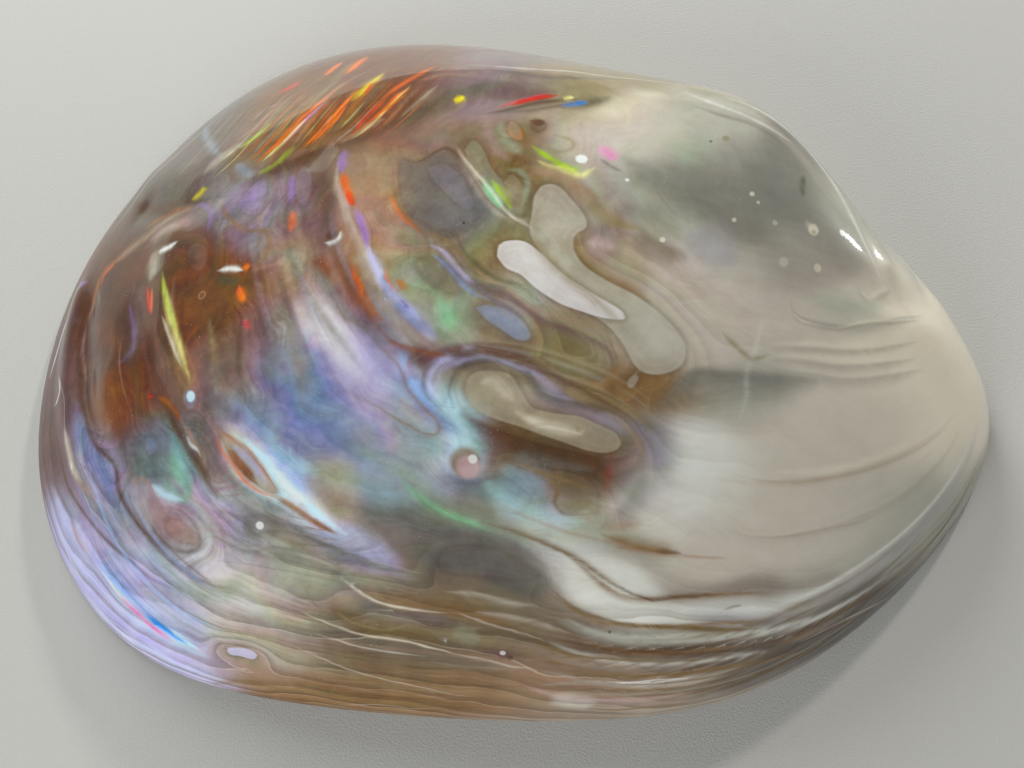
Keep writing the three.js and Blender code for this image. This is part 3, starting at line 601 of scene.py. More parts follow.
    ("crest's white part", "white", 0.8, 0.35, 0.5, [(-20.8, -20.2), (-19.2, -22.6), (-17.6, -24.2)]),
    # Painted shade below the bright crest.
    ("brown line below the crest", "bronze", 0.7, 0.3, 0.4,
     [(-21.2, -23.4), (-19.4, -24.6), (-17.4, -26), (-15.4, -27.4)]),
    ("dark bank below the lens", "umber_grey", 0.6, 0.5, 0.6,
     [(-28.8, -16.8), (-27.6, -19.8), (-25, -22.2), (-21.8, -24.2), (-18.8, -25.8)]),
    # The blue streak and its azure, cyan, pink and white parts are a painted highlight: a bright rainbow-coloured
    # reflection near the lower rim.
    ("blue streak", "sky", 1.0, 1.1, 1.2,
     [(-50.4, -31), (-47.8, -34.8), (-44.8, -38.4), (-41.8, -40.8), (-39.2, -43), (-36.4, -45)]),
    ("azure of the streak", "azure", 1.0, 0.5, 0.5,
     [(-43.8, -38.2), (-42, -39.8), (-40, -41.4), (-38.6, -42.8)]),
    ("cyan of the streak", "sky", 1.0, 0.45, 0.45, [(-40.4, -40.4), (-38.6, -42), (-37.4, -43.4)]),
    ("pink of the streak", "pink", 1.0, 0.5, 0.5,
     [(-47.6, -36), (-46.4, -37.6), (-44.6, -39.4), (-42.6, -41.4), (-40.8, -42.8)]),
    ("white of the streak", "white", 0.7, 0.3, 0.3, [(-49.8, -32.6), (-48, -35.8), (-45.6, -38)]),
    ("violet below the streak", "lavender", 0.8, 0.7, 0.7,
     [(-48, -44.4), (-45.6, -46.4), (-43.4, -48.2), (-40.8, -49.2)]),
    ("lavender rim band", "lavender", 0.6, 1.1, 1.1,
     [(-61.2, -33), (-58.6, -38.4), (-55.4, -44), (-51.8, -48.8), (-46.6, -50.2)]),
    ("brown tip of the front rim", "bronze", 0.6, 0.5, 0.6,
     [(-43, -53.8), (-34.4, -49.8), (-30.4, -50.6), (-26.4, -51.4)]),
    ("green shade of the front", "olive", 0.5, 0.8, 0.8,
     [(-5.8, -38), (-2.8, -39.4), (-0.4, -40.2), (2.2, -40.8)]),
    ("pale lines' join", "cream_grey", 0.5, 0.2, 0.4, [(-4.8, -33.8), (-1.6, -34), (1.8, -35), (5, -35.6)]),
    ("pale lines' join 2", "cream_grey", 0.45, 0.2, 0.4, [(-2, -36), (1.6, -36.6), (5, -37.6), (8.4, -39.2)]),
    ("green crest", "sage", 0.75, 0.9, 0.9,
     [(-12.2, -18.8), (-9.2, -20.2), (-7, -21.8), (-5.2, -23.8), (-3, -25.4), (-0.2, -26.4), (2.4, -27.6),
      (4.8, -29)]),
    ("teal line of the crest", "mint", 0.5, 0.4, 0.5,
     [(-8, -21.8), (-6.6, -23.2), (-4.8, -24.8), (-2.2, -26), (0.6, -27.2)]),
    ("dark line under the green crest", "smoke", 0.6, 0.3, 0.5,
     [(-7, -22), (-6.2, -23.8), (-4.2, -25.6), (-1.4, -26.8), (1.6, -28.2), (4, -29.6), (6, -31.4)]),
    ("brown line of the crest", "bronze", 0.85, 0.22, 0.5,
     [(7, -28.8), (9.2, -30.8), (11.2, -32.8), (13.4, -34.4), (16.2, -35), (20.2, -34.8), (26.4, -34.8),
      (30.8, -35.2)]),
    ("pale crest", "silver", 0.85, 1.2, 1.3,
     [(5.2, -29.6), (7.6, -31.8), (9.6, -34.2), (12.2, -36.2), (15.6, -37.4), (19.8, -37.2), (24.4, -36.8),
      (31.8, -37), (40.2, -35.4), (48, -32)]),
    ("brown line under the pale crest", "bronze", 0.8, 0.22, 0.45,
     [(5, -33.4), (8, -35.6), (11.4, -37.8), (15.6, -38.2), (20, -38.4), (24.6, -38.4), (31.2, -39),
      (36.2, -39.4)]),
    ("white band", "silver", 0.8, 0.6, 0.7,
     [(7.6, -37.2), (11.4, -39.4), (16.4, -40.2), (21.8, -40.4), (27.6, -40.6), (36, -40.4), (44.2, -38),
      (51.4, -34.2)]),
    ("second brown line", "bronze", 0.75, 0.25, 0.6,
     [(6.2, -37.8), (10.2, -40.4), (14.6, -41.8), (20.2, -42.6), (26.2, -42.6), (33.8, -43), (42, -41.8)]),
    ("second white band", "silver", 0.6, 0.5, 0.6,
     [(5.8, -40.2), (10.2, -42.4), (15.8, -44), (21.6, -44.6), (28.6, -44.4), (36.2, -44.4)]),
    ("third brown line", "bronze", 0.7, 0.25, 0.6,
     [(2.6, -41.4), (7.6, -43.6), (13.2, -45.6), (19, -46.4), (25, -46.2), (32.6, -46.2), (42.4, -46.4)]),
    ("third white band", "stone", 0.6, 0.5, 0.6,
     [(4.8, -44.8), (10.4, -46.8), (16.4, -48.4), (22.4, -48.8), (28.6, -48.2)]),
    ("fifth brown line", "taupe", 0.7, 0.25, 0.6,
     [(1.2, -44.8), (6.6, -47.4), (13.4, -49.6), (20.6, -50.4), (27, -49.8), (33.8, -49.2)]),
    ("dash 3", "bronze", 0.6, 0.15, 0.2, [(24.6, -36.8), (26, -36.4), (27, -36.4)]),
    ("dash", "bronze", 0.75, 0.25, 0.35, [(12.6, -29), (15, -29.2), (17.6, -29.6), (19.4, -30)]),
    ("dash's thin tail", "tan", 0.5, 0.15, 0.2, [(19.2, -30), (21.8, -30.4), (24.4, -30.6)]),
    ("brown rim line", "umber", 0.8, 0.3, 0.7,
     [(38.4, -41.6), (43.6, -39.4), (50.6, -37), (56.2, -33.4), (60.6, -28.4), (63.2, -23.2), (63.8, -18.4)]),
    ("brown rim line 2", "umber", 0.7, 0.3, 0.6,
     [(34.2, -45.4), (41.2, -43.2), (49.4, -41.6), (57.8, -39.2), (66, -27.6), (67.8, -21.8)]),
    ("pale rim line", "stone", 0.6, 0.2, 0.3, [(37.4, -44), (45, -41.6), (56.6, -40.4)]),
    ("grey band inside the rim", "lilac_grey", 0.35, 1.2, 1.2,
     [(33.8, -37.6), (39.2, -36.2), (45, -33.6), (51, -29.8), (56, -25), (59.4, -19.6), (60.2, -14.2)]),
    ("pale line inside the rim", "silver", 0.7, 0.3, 0.4,
     [(29.2, -37.2), (35.4, -36), (41.4, -33.4), (47.6, -29.8), (53, -25.4), (57.2, -20.2), (59.2, -14.4),
      (60, -10)]),
    ("warm arc", "tan", 0.28, 0.2, 0.6,
     [(22.2, -22.2), (26.8, -22.6), (32.4, -22.4), (38.4, -21.4), (44.4, -19.6), (50, -16.8), (53.6, -14)]),
    ("warm arc 2", "warm_grey", 0.3, 0.2, 0.8,
     [(23.6, -27.2), (27.6, -28.4), (33.4, -28.2), (39.6, -26.8), (46, -24.4), (52, -20), (55.8, -14.8)]),
    ("warm arc 3", "cream", 0.5, 0.4, 0.4,
     [(27.6, -21.6), (33.6, -21.6), (39.8, -20.4), (46, -18), (51, -14.8)]),
    ("cream arc below", "cream_grey", 0.6, 0.6, 0.6,
     [(27.4, -26.6), (33, -26.4), (39.2, -25), (45.2, -22.4), (50.6, -18.6)]),
    ("arc before the beak", "smoke", 0.55, 0.18, 0.6,
     [(29.2, -5.4), (29.6, -6.6), (31.4, -7.4), (34.6, -7.8), (38.2, -7.4), (42.2, -6), (47.6, -3.8)]),
    ("shade inside that arc", "sage", 0.45, 1.0, 1.0, [(31, -5.2), (33.8, -5.8), (37.8, -5.6), (41.4, -4.2)]),
    ("inner arc", "warm_grey", 0.5, 0.2, 0.5, [(37.2, -4), (37.8, -4.6), (40.2, -4), (42, -2.8)]),
    ("arc 2", "warm_grey", 0.5, 0.2, 0.5,
     [(26.4, -9.8), (30.2, -9.8), (34.8, -10), (39.8, -9.4), (45.8, -7.4)]),
    ("arc 3", "warm_grey", 0.5, 0.2, 0.6, [(27, -10.8), (30.4, -11), (34.8, -11.4), (40, -10.8), (45.2, -9.4)]),
    ("arc 4", "smoke", 0.4, 0.2, 0.8,
     [(27.4, -11.6), (31.2, -12.2), (36, -12.6), (41.2, -11.8), (46.6, -10.2)]),
    ("arc 5", "cream", 0.4, 0.3, 0.3, [(26.8, -9.4), (31.2, -9.4), (36.8, -9.4), (43.2, -7.6)]),
    ("arc 6", "cream", 0.4, 0.3, 0.3, [(27.4, -10.4), (31.6, -10.6), (37.2, -10.6), (44.6, -8.8)]),
    ("notch", "olive", 0.7, 0.25, 0.25,
     [(22.2, -8.2), (23.2, -9.2), (24.6, -10.4), (25.4, -10.8), (27.2, -10.4)]),
    ("edge of the smoky band", "smoke", 0.85, 0.12, 1.9,
     [(16, -15.4), (17.2, -14.2), (18.4, -13), (20, -12), (22.2, -12.2), (25.4, -12.4), (28.6, -12.6),
      (32.6, -12.8)]),
    ("dark notch of the beak", "dark_olive", 0.8, 0.3, 0.35, [(32.8, 7.6), (32, 6), (31.8, 4.6)]),
    ("smoke above the beam", "smoke", 0.6, 1.6, 1.6, [(19.2, 6), (21.6, 4), (24.2, 2), (27.4, 0.6)]),
    ("smoke of the umbo's back", "smoke", 0.7, 1.6, 1.6, [(25.4, 9.6), (27.6, 6.8), (29.4, 4.4), (30.4, 1.8)]),
    ("green-grey bloom of the umbo", "sage", 0.5, 2.0, 2.0, [(18.6, 9.6), (20.6, 11.8), (23.4, 12.6)]),
    ("dark red hollow", "plum", 0.8, 1.2, 1.2, [(0.4, 19.8), (2.4, 20.6), (5, 20.4), (7.6, 21)]),
    ("dark hollow right of it", "dark_olive", 0.8, 0.8, 0.8, [(7.6, 18.2), (9.8, 19.2), (12, 20), (13, 20.8)]),
    ("coral line", "red", 0.85, 0.2, 0.25, [(2.6, 18.6), (4.4, 19.6), (6, 20.2), (7.6, 20.6)]),
    ("blue facet", "azure", 0.6, 0.35, 0.35, [(7.6, 18.8), (9, 19.2), (10.6, 19.8)]),
    ("cream facet", "yellow_white", 0.9, 0.3, 0.3, [(8, 19.8), (8.6, 20.2), (9.2, 20.4)]),
    ("yellow spark 2", "yellow", 0.95, 0.4, 0.4, [(-3.2, 20), (-2.6, 20), (-2, 20.4)]),
    ("hinge strand 1", "umber_grey", 0.6, 0.3, 0.4,
     [(-2.2, 25.8), (1.6, 24.8), (5.8, 23.8), (10, 24.2), (15.8, 26)]),
    ("hinge strand 2", "silver", 0.4, 0.2, 0.2, [(-2.4, 26.6), (4, 25.6), (10.6, 25.8), (17.4, 26.4), (24, 24.6)]),
    ("hinge strand 3", "umber_grey", 0.5, 0.3, 0.4, [(-6.8, 25.8), (-2.4, 23.4), (1.6, 22.4), (5.8, 22.2)]),
    ("hinge strand 4", "tan", 0.5, 0.3, 0.4, [(-7.4, 23.6), (-4.4, 24.4), (-1.6, 23.8)]),
    ("orange strand at the crease", "salmon", 0.7, 0.3, 0.3,
     [(-11, 21.6), (-9.2, 23.2), (-7.2, 25), (-5.4, 27)]),
    ("orange strand at the crease 2", "orange_brown", 0.7, 0.3, 0.3, [(-11, 19.6), (-9.4, 20.6), (-8, 22)]),
    ("pale lip", "yellow_white", 0.75, 0.3, 0.4, [(5.4, 9.8), (6.6, 9), (8, 8.4), (9.4, 8), (10.8, 9)]),
    ("orange petal's edge", "orange_brown", 0.7, 0.3, 0.3, [(2.4, 15), (2.6, 13.6), (3.6, 13), (4, 14.4)]),
    ("pink-brown bay", "rose_grey", 0.6, 0.6, 0.6, [(0.4, 18), (0.6, 14), (1.6, 11.4), (3, 9.6)]),
    ("green bay", "sage", 0.6, 0.7, 0.7, [(1.6, 15.8), (2.6, 12.4), (4, 10.6)]),
    ("lime lip", "lime", 0.75, 0.4, 0.4, [(7.8, 9.4), (8.6, 8.6), (9.4, 9)]),
    ("white sun spot", "white", 0.98, 0.45, 0.5, [(9, 10.4), (9.6, 10), (10.2, 10)]),
    # The pink bloom is a painted glint.
    ("pink bloom", "pink", 0.45, 0.6, 0.6, [(11.8, 11.8), (12.4, 10.8), (12.4, 9.8)]),
    ("pink flank line", "rose_pearl", 0.5, 0.7, 0.7, [(9.8, 0.6), (11.2, 0.2), (12.4, -0.2)]),
    ("green glint", "mint", 0.95, 0.35, 0.35, [(0.6, 7.4), (1.2, 5.8), (2.2, 4.4)]),
    ("green glint's cyan", "sky", 0.8, 0.25, 0.25, [(1, 6.2), (1.6, 5.2), (2.2, 4.4)]),
    ("green glint's side", "lime", 0.6, 0.4, 0.4, [(2, 7), (2.4, 5.4), (3, 3.8)]),
    ("pale edge", "cream_grey", 0.7, 0.3, 0.4,
     [(-2.4, 12.4), (-1, 9), (0.4, 6), (2, 3.8), (3.6, 3), (4.8, 2), (5, 1.4)]),
    ("olive bean's ring", "khaki", 0.7, 0.3, 0.3, [(2, 7.4), (2.2, 6), (3, 4.8), (4, 5), (4.2, 6.6)]),
    ("olive lip", "khaki", 0.8, 0.6, 0.5,
     [(3.4, 8.8), (5.4, 9), (7.4, 8), (9, 6.4), (10.2, 4.4), (11.8, 2.8), (13.8, 2.2), (15.2, 2.4)]),
    ("bronze outer lip", "bronze", 0.6, 0.6, 0.4,
     [(8.8, 7.6), (10.4, 5.6), (11.2, 4), (12.6, 2.6), (14.4, 1.8)]),
    ("bronze edge of the tongue", "bronze", 0.6, 0.5, 0.3,
     [(8.8, 1), (9.2, -1.4), (11, -3.2), (13.4, -4.2), (15.6, -5.8)]),
    ("khaki edge of the tongue", "khaki", 0.6, 0.4, 0.5,
     [(4, 3.6), (5, 1), (6.6, -1.8), (9.2, -4.2), (11.6, -6.4), (13.4, -8.4)]),
    ("violet contour", "plum", 0.75, 0.2, 0.5,
     [(-4.2, 1), (-3, -1), (-1.6, -2.6), (0.8, -4), (2.4, -4.4), (4, -5.8), (6.2, -7.4), (9, -8.4),
      (11.4, -9.8), (12.2, -11.4), (12, -13.2)]),
    ("violet contour 2", "violet_smoke", 0.7, 0.2, 0.4,
     [(-4, 0), (-2, -2.4), (-0.2, -4), (1.6, -5.2), (3.6, -6.6), (4.8, -8.2)]),
    ("violet contour 3", "umber_grey", 0.5, 0.2, 0.4,
     [(-4.6, 1.2), (-2.6, -1.8), (-0.4, -3.2), (1.6, -4.2), (3.6, -5.6)]),
    ("tan contour", "tan", 0.5, 0.2, 0.4,
     [(-1.4, -1), (0.8, -3), (3, -4.4), (5, -6), (7.8, -7), (10.4, -7.8), (12.6, -9.6)]),
    ("khaki contour", "khaki", 0.5, 0.2, 0.4,
     [(0.8, 0.4), (1.8, -2), (3.6, -4.2), (6.2, -6), (9.4, -7), (12.4, -8.6)]),
    ("blue pool", "ash_blue", 0.6, 1.0, 1.0, [(0, -5.4), (1.6, -6.6), (3.2, -7.8), (4.8, -9)]),
    ("green pool's glow", "mint", 0.45, 0.7, 0.7, [(-3.8, -4.6), (-3, -6.4), (-2.6, -8.2)]),
    ("blue spark of the pool", "lavender", 0.6, 0.35, 0.35, [(-2.2, -9.2), (-1, -9.6), (0, -9.2)]),
    ("dark bean", "smoke", 0.5, 0.9, 0.9, [(-5.2, -1), (-4.2, -2.4), (-3, -3.8)]),
    ("brown shore", "bronze", 0.7, 0.5, 0.5,
     [(12.2, -10), (12.6, -11.4), (12, -12.6), (13.4, -13.8), (15.4, -13.4), (17, -12.4)]),
    ("ring of the island", "dark_olive", 0.7, 0.3, 0.5,
     [(-2.6, -15.4), (-3, -13.4), (-2, -11.6), (0, -10.8), (2.6, -11), (4.2, -11.8), (5.4, -13.8),
      (7.6, -14.8), (10.4, -15.2), (13, -16.4), (14.8, -18.6), (14.8, -20.6)]),
    ("lilac ring of the island", "lavender", 0.7, 0.35, 0.35,
     [(-3.4, -15), (-4.6, -13.4), (-4.8, -12), (-3.6, -10.8), (-1.2, -10.4), (1.4, -10.2)]),
    ("edge of the lilac ring", "umber_grey", 0.6, 0.2, 0.35,
     [(-3.4, -15.8), (-5.2, -13.8), (-5.2, -11.8), (-3.8, -10.6), (-1.4, -10), (1.4, -9.8), (4, -10.4)]),
    ("olive ring outside", "olive", 0.6, 0.3, 0.4,
     [(2.8, -10.6), (5.4, -11.4), (6.8, -13), (9, -14.4), (12, -14.8), (14.2, -16), (16.2, -17.8)]),
    ("middle of the island", "tan", 0.5, 0.5, 0.5, [(0.8, -14.2), (1.8, -14.2), (2.8, -14.6)]),
    ("edge of the island's tail", "olive", 0.7, 0.2, 0.3,
     [(3.6, -15.6), (5, -16), (6.8, -16.4), (8.6, -17.2), (9.4, -17.8), (8.2, -18.2), (6.4, -17.8),
      (4.6, -17)]),
    ("dark rim under the island", "umber", 0.8, 0.4, 0.9,
     [(-2, -15.6), (-0.2, -16.8), (2.4, -17.8), (4.6, -18.6), (7.6, -19.6), (10.6, -20.2), (12.8, -20.2),
      (14, -19.4)]),
    ("brown patch's edge", "bronze", 0.7, 0.2, 0.2,
     [(1.8, -20), (3.4, -20.4), (5, -21.2), (6.4, -22.2), (7, -23.2), (6.6, -24.2), (7.4, -25.4), (9, -25.6),
      (10.8, -25.4)]),
    ("brown patch's second edge", "bronze", 0.6, 0.2, 0.2,
     [(2, -20.2), (4.2, -21.2), (6.4, -21.8), (8.6, -22.6), (10.6, -23.2)]),
    ("brown patch's foot", "olive", 0.8, 0.5, 0.5, [(7, -24.2), (8, -24.8), (9.4, -24.6), (10.4, -24.2)]),
    ("blue of the brown patch", "ash_blue", 0.6, 0.9, 0.9, [(3, -21.6), (4.6, -22.6), (5.6, -23.8)]),
    ("brown shade under the patch", "smoke", 0.6, 0.6, 0.6,
     [(3, -19.6), (5.4, -20), (8, -20.8), (10.6, -21.2)]),
    ("grey bloom by the blaze", "lilac_grey", 0.5, 1.6, 1.6, [(15.8, -17.2), (16.6, -19.4), (16.2, -21.4)]),
    ("dark beside the lobe's tip", "steel", 0.7, 0.8, 0.8,
     [(-7.6, -11.4), (-6, -13.4), (-5, -15.2), (-3.2, -16.8), (-1.4, -18)]),
    ("front line 1's brown band", "bronze", 0.7, 1.3, 0.1,
     [(-15.2, -32.2), (-13.2, -33.8), (-11.4, -35), (-8.8, -35.6), (-6.4, -35.8), (-3.8, -36.2), (-1, -37),
      (2.8, -38.6)]),
    ("front line 1", "cream", 0.8, 0.12, 0.22,
     [(-17.6, -30.6), (-15.2, -32.2), (-13.2, -34), (-11.4, -35), (-8.8, -35.6), (-6.4, -36), (-4.6, -36.2)]),
    ("front line 1's far part", "cream_grey", 0.5, 0.1, 0.2,
     [(-4.4, -36), (-2.6, -36.6), (-0.4, -37.6), (2.8, -38.8), (5.8, -40.2)]),
    ("violet shade under line 1", "violet_smoke", 0.55, 0.2, 1.2,
     [(-16, -32.4), (-14.2, -33.8), (-12.4, -35.2), (-10, -36.2), (-6.4, -36.6), (-3, -37.6)]),
    ("lens of the front", "olive_brown", 0.7, 0.9, 0.9,
     [(-17.6, -34.6), (-16.2, -36.8), (-13.6, -38.2), (-10.8, -38.8), (-7.8, -39.2), (-5.6, -40.8)]),
    ("front lens's upper line", "khaki", 0.65, 0.1, 0.2,
     [(-18, -33), (-17.2, -35), (-16, -37), (-14, -38), (-11.4, -38.4), (-9.2, -37.8), (-7.2, -38.2),
      (-6, -39.6), (-5.4, -40.8)]),
    ("front lens's inner line", "taupe", 0.5, 0.1, 0.2,
     [(-19.6, -33.2), (-18.8, -35.4), (-17, -36.8), (-15.4, -37.8), (-13, -38.4)]),
    ("front line 2", "cream", 0.75, 0.1, 0.22,
     [(-21, -36), (-18.8, -37.2), (-16.8, -38.2), (-14.2, -39.2), (-11.6, -39.6), (-9.6, -40), (-8, -40.6),
      (-5.6, -41.4), (-3, -42.4)]),
    ("front line 2's far part", "cream_grey", 0.6, 0.15, 0.25,
     [(-4.6, -42), (-1.8, -42.6), (-0.2, -43.2), (1.6, -44), (4.2, -44.4)]),
    ("shade under line 2", "smoke", 0.5, 0.1, 1.1,
     [(-20.8, -36.8), (-17.4, -38.6), (-14.4, -40), (-11.2, -40.4), (-7.2, -41.8), (-2, -43.4), (2.4, -44.8)]),
    ("front line 3", "cream_grey", 0.65, 0.1, 0.2,
     [(-20.4, -39), (-17.8, -40), (-15.4, -41), (-12.6, -41.6), (-10, -42), (-7.8, -42.4)]),
    ("front line 3's far part", "warm_grey", 0.5, 0.1, 0.3,
     [(-7.8, -43.2), (-4.8, -43.8), (-1.4, -44.2), (2.6, -44.6)]),
    ("front line 4", "cream_grey", 0.55, 0.1, 0.2,
     [(-25.2, -40.4), (-22.6, -41.6), (-20.2, -43.2), (-17.8, -44.8), (-15.2, -46), (-12.6, -47), (-9.6, -48),
      (-6.2, -49.4), (-2.8, -50.2)]),
    ("brown rim of the front", "olive_brown", 0.5, 1.4, 1.4,
     [(-27.4, -49.2), (-21.6, -51), (-15.6, -52), (-9.6, -53.4), (-3.2, -53.6)]),
    ("front rim's line", "cream_grey", 0.5, 0.15, 0.2,
     [(-24, -56), (-19, -54.2), (-15, -54), (-12.6, -54.8), (-7.8, -53.8)]),
    ("front rim's second line", "tan", 0.5, 0.15, 0.2,
     [(-37.8, -56), (-34.2, -57.6), (-29.4, -57.8), (-23.6, -56.8)]),
    ("lens crumb", "silver", 0.5, 0.15, 0.15, [(-6.6, -39.2), (-5.6, -39.6), (-5.4, -40.6)]),
    ("green shade by the pit", "sage", 0.5, 0.9, 0.9, [(-4.6, -38.4), (-2.6, -39.4), (-1.4, -39.6)]),
    ("pit's red-brown shade", "plum", 0.6, 0.7, 0.7, [(-1.6, -41), (-0.4, -41.6), (1.2, -42.2), (1.8, -43.2)]),
    ("contour a", "smoke", 0.55, 0.15, 0.4,
     [(-30, -22.6), (-28.6, -24.2), (-26.8, -26), (-25, -27.2), (-22.2, -26.8), (-19.6, -27.4), (-16.8, -28.4),
      (-13.6, -30), (-10.6, -31.2), (-7.2, -32)]),
    ("contour b", "cream_grey", 0.4, 0.15, 0.25, [(-29.4, -22.2), (-28, -24), (-26.4, -25.4), (-25.2, -25.8)]),
    ("contour c", "smoke", 0.6, 0.15, 0.35,
     [(-27.4, -21), (-26, -23), (-23.6, -24.8), (-21.4, -26.2), (-19, -27.4), (-15.8, -28.8), (-12.4, -30.2),
      (-8.6, -31.6), (-5.6, -32.2)]),
    ("contour d", "cream_grey", 0.4, 0.1, 0.25,
     [(-26.8, -23), (-24.4, -24.8), (-21.8, -26.2), (-19.2, -27.2), (-16.4, -28.2), (-13.4, -29.8),
      (-10, -30.8), (-6.6, -31.8)]),
    ("contour e", "sage", 0.5, 0.3, 0.3,
     [(-23.6, -28.2), (-21.2, -27.6), (-18.6, -28.2), (-15.8, -29.2), (-13, -30.6), (-9.6, -31.6)]),
    ("contour f", "cream_grey", 0.4, 0.15, 0.3,
     [(-32.2, -31), (-29.6, -29.4), (-26.4, -28.6), (-23.2, -28.8), (-19.8, -29.4), (-17, -30.4),
      (-14.2, -32)]),
    ("contour g", "smoke", 0.5, 0.15, 0.3,
     [(-31.2, -28.2), (-29.6, -27.2), (-27.6, -28), (-25.2, -29), (-21.6, -28.6), (-18.4, -29.4), (-15, -31)]),
    ("contour h", "smoke", 0.5, 0.15, 0.35,
     [(-29.2, -20.2), (-27.6, -22.8), (-25.4, -24.2), (-23.2, -25.6), (-20.6, -26.2), (-17.8, -26.8),
      (-15.2, -28.2)]),
    ("shadow of the grey pearl", "umber_grey", 0.6, 0.9, 0.9,
     [(-25, -25.6), (-24.4, -26.4), (-24, -27.8), (-23.4, -28.2)]),
    ("lens's bright lip", "salmon", 0.75, 0.18, 0.25,
     [(-27.6, -15.8), (-27.4, -17.2), (-26.6, -18.6), (-25.6, -20), (-24.4, -21.6), (-23, -22.6),
      (-21.4, -23.2)]),
    ("lens's upper lip", "orange_brown", 0.6, 0.2, 0.3,
     [(-27.4, -15.6), (-25.6, -16.8), (-23.8, -18), (-22.6, -19.4), (-21.6, -21.2), (-21, -22.8)]),
    ("lens's pearl middle", "lilac_pearl", 0.75, 0.5, 0.5,
     [(-25.8, -17.4), (-24, -18.8), (-22.8, -20.4), (-21.8, -22)]),
    ("lens's dark core", "copper_brown", 0.85, 0.35, 0.4,
     [(-26, -18), (-25, -19.2), (-24, -20.4), (-23.4, -21.2)]),
    ("second copper line", "tan", 0.6, 0.3, 0.3, [(-21.4, -23.2), (-20.2, -24), (-19, -24.8)]),
    ("third copper line", "bronze", 0.7, 0.2, 0.25, [(-18.2, -25.8), (-17, -26.4), (-16, -27), (-15.2, -27.4)]),
    # The crest's glow and sky edge are painted sheen along the crest.
    ("crest's glow", "white", 0.75, 1.0, 0.7,
     [(-23.4, -17.4), (-21.6, -19.2), (-20.2, -21), (-18.8, -22.8), (-17.2, -24.6), (-15.8, -26.2),
      (-14.8, -27)]),
    ("crest's sky edge", "azure_pale", 0.6, 1.6, 0.3,
     [(-22.2, -18), (-20.6, -19.6), (-19.2, -21.2), (-17.8, -22.8), (-16.8, -23.8)]),
    ("khaki beside the crest", "khaki", 0.5, 1.8, 0.4,
     [(-17.6, -20.8), (-16.6, -22.8), (-15.4, -24.6), (-14.2, -25.8)]),
    ("lobe's bright side", "silver", 0.7, 1.0, 0.8,
     [(-16.4, -3.4), (-15.2, -6), (-14, -8.4), (-12.8, -10.2), (-11.2, -11.8)]),
    ("lobe's outline", "bronze", 0.6, 0.12, 0.25,
     [(-10.4, -7.4), (-9, -9.4), (-7.6, -11), (-6.8, -13.2), (-5.2, -15.2), (-4, -16.6), (-4.2, -17.6),
      (-5.4, -17.6), (-6.8, -16.8), (-8.2, -16), (-9.6, -15), (-11.4, -13.8)]),
    ("khaki of the lobe's tip", "khaki", 0.55, 1.0, 1.0, [(-7.8, -14.2), (-6.2, -15.6), (-5, -16.6)]),
    ("blue beside the lobe", "azure_pale", 0.6, 0.9, 0.9,
     [(-7.6, -9.4), (-6.6, -12), (-5.4, -14), (-4.2, -15.4)]),
    ("copper flank", "copper_brown", 0.75, 1.0, 1.0,
     [(-17.2, 1.4), (-15, 0.2), (-13.4, -1.8), (-12, -3.8), (-11, -5.4)]),
    ("copper flank's light edge", "salmon", 0.7, 0.15, 0.3,
     [(-12.2, -0.6), (-11.8, -1.6), (-11.2, -2.8), (-11, -4.2)]),
    ("edge of the long ridge, upper part", "copper_brown", 0.75, 0.15, 0.35,
     [(-12.4, 0), (-11.8, -2.2), (-11, -4.2), (-10, -6.4), (-8.8, -8.2), (-6.8, -9.2), (-4.4, -10),
      (-2, -10.4), (-0.4, -10.2)]),
    ("long tan ridge", "rose_grey", 0.6, 1.0, 1.0,
     [(-10, 0.2), (-9.4, -3), (-8.2, -5.4), (-6.4, -7.4), (-4.8, -9), (-3, -10)]),
    ("ridge's white spark", "white", 0.95, 0.18, 0.18, [(-9, -2.8), (-8.6, -3.8), (-7.8, -4.6), (-7, -5.4)]),
    ("ridge's violet spark", "violet", 0.85, 0.2, 0.2, [(-7.6, -4.6), (-7, -5.2), (-6.4, -5.8)]),
    ("ridge's salmon spark", "salmon", 0.8, 0.15, 0.15, [(-8.8, -1.4), (-8.6, -2.4), (-8, -3.6), (-7.2, -4.4)]),
    ("orange edge of the tan ridge", "amber", 0.5, 0.25, 0.35,
     [(-13.2, 0.6), (-12.2, -1.2), (-11.4, -3.2), (-10.4, -5.4)]),
    ("worn rim", "white", 0.9, 0.5, 0.45,
     [(-60.8, 5.8), (-63.2, 3.4), (-64.2, 0.4), (-65.4, -2.6), (-66.6, -4.6)]),
    ("pit's dark hole", "soot", 0.9, 0.4, 0.4, [(-63.2, -5.2), (-63.2, -6.4), (-63.4, -7.6), (-64, -8.4)]),
    ("pit's white edge", "white", 0.85, 0.25, 0.25, [(-59.4, -4.8), (-57.4, -7), (-58.2, -8.6), (-60.2, -9.4)]),
    ("yellow ridge's tan side", "khaki", 0.7, 0.6, 0.3,
     [(-34.4, -2), (-33.4, -4.6), (-32, -7.4), (-30.6, -9.8)]),
    ("yellow ridge's pale side", "cream", 0.7, 0.25, 0.2,
     [(-35, -1.8), (-33.6, -4.4), (-32.6, -6.4), (-31.4, -8.6)]),
    ("copper mass", "rust", 0.6, 1.4, 1.4, [(-52.6, 2), (-45.4, -1.6), (-41.2, -4.2)]),
    ("violet streak of the narrow end", "violet_smoke", 0.7, 0.5, 0.5,
     [(-40.8, 0), (-39.8, -3.2), (-40.6, -5.2), (-42.4, -6.2)]),
    ("rim's pale lump", "cream_grey", 0.75, 0.7, 0.7,
     [(-54.6, -13.2), (-53, -16.2), (-52, -18.8), (-49.6, -20.8)]),
    ("rim lump's spark", "white", 0.9, 0.2, 0.2, [(-52.8, -17.6), (-52.4, -18.4), (-52.4, -19.4)]),
    ("rim's blue slope", "steel", 0.6, 0.9, 0.9,
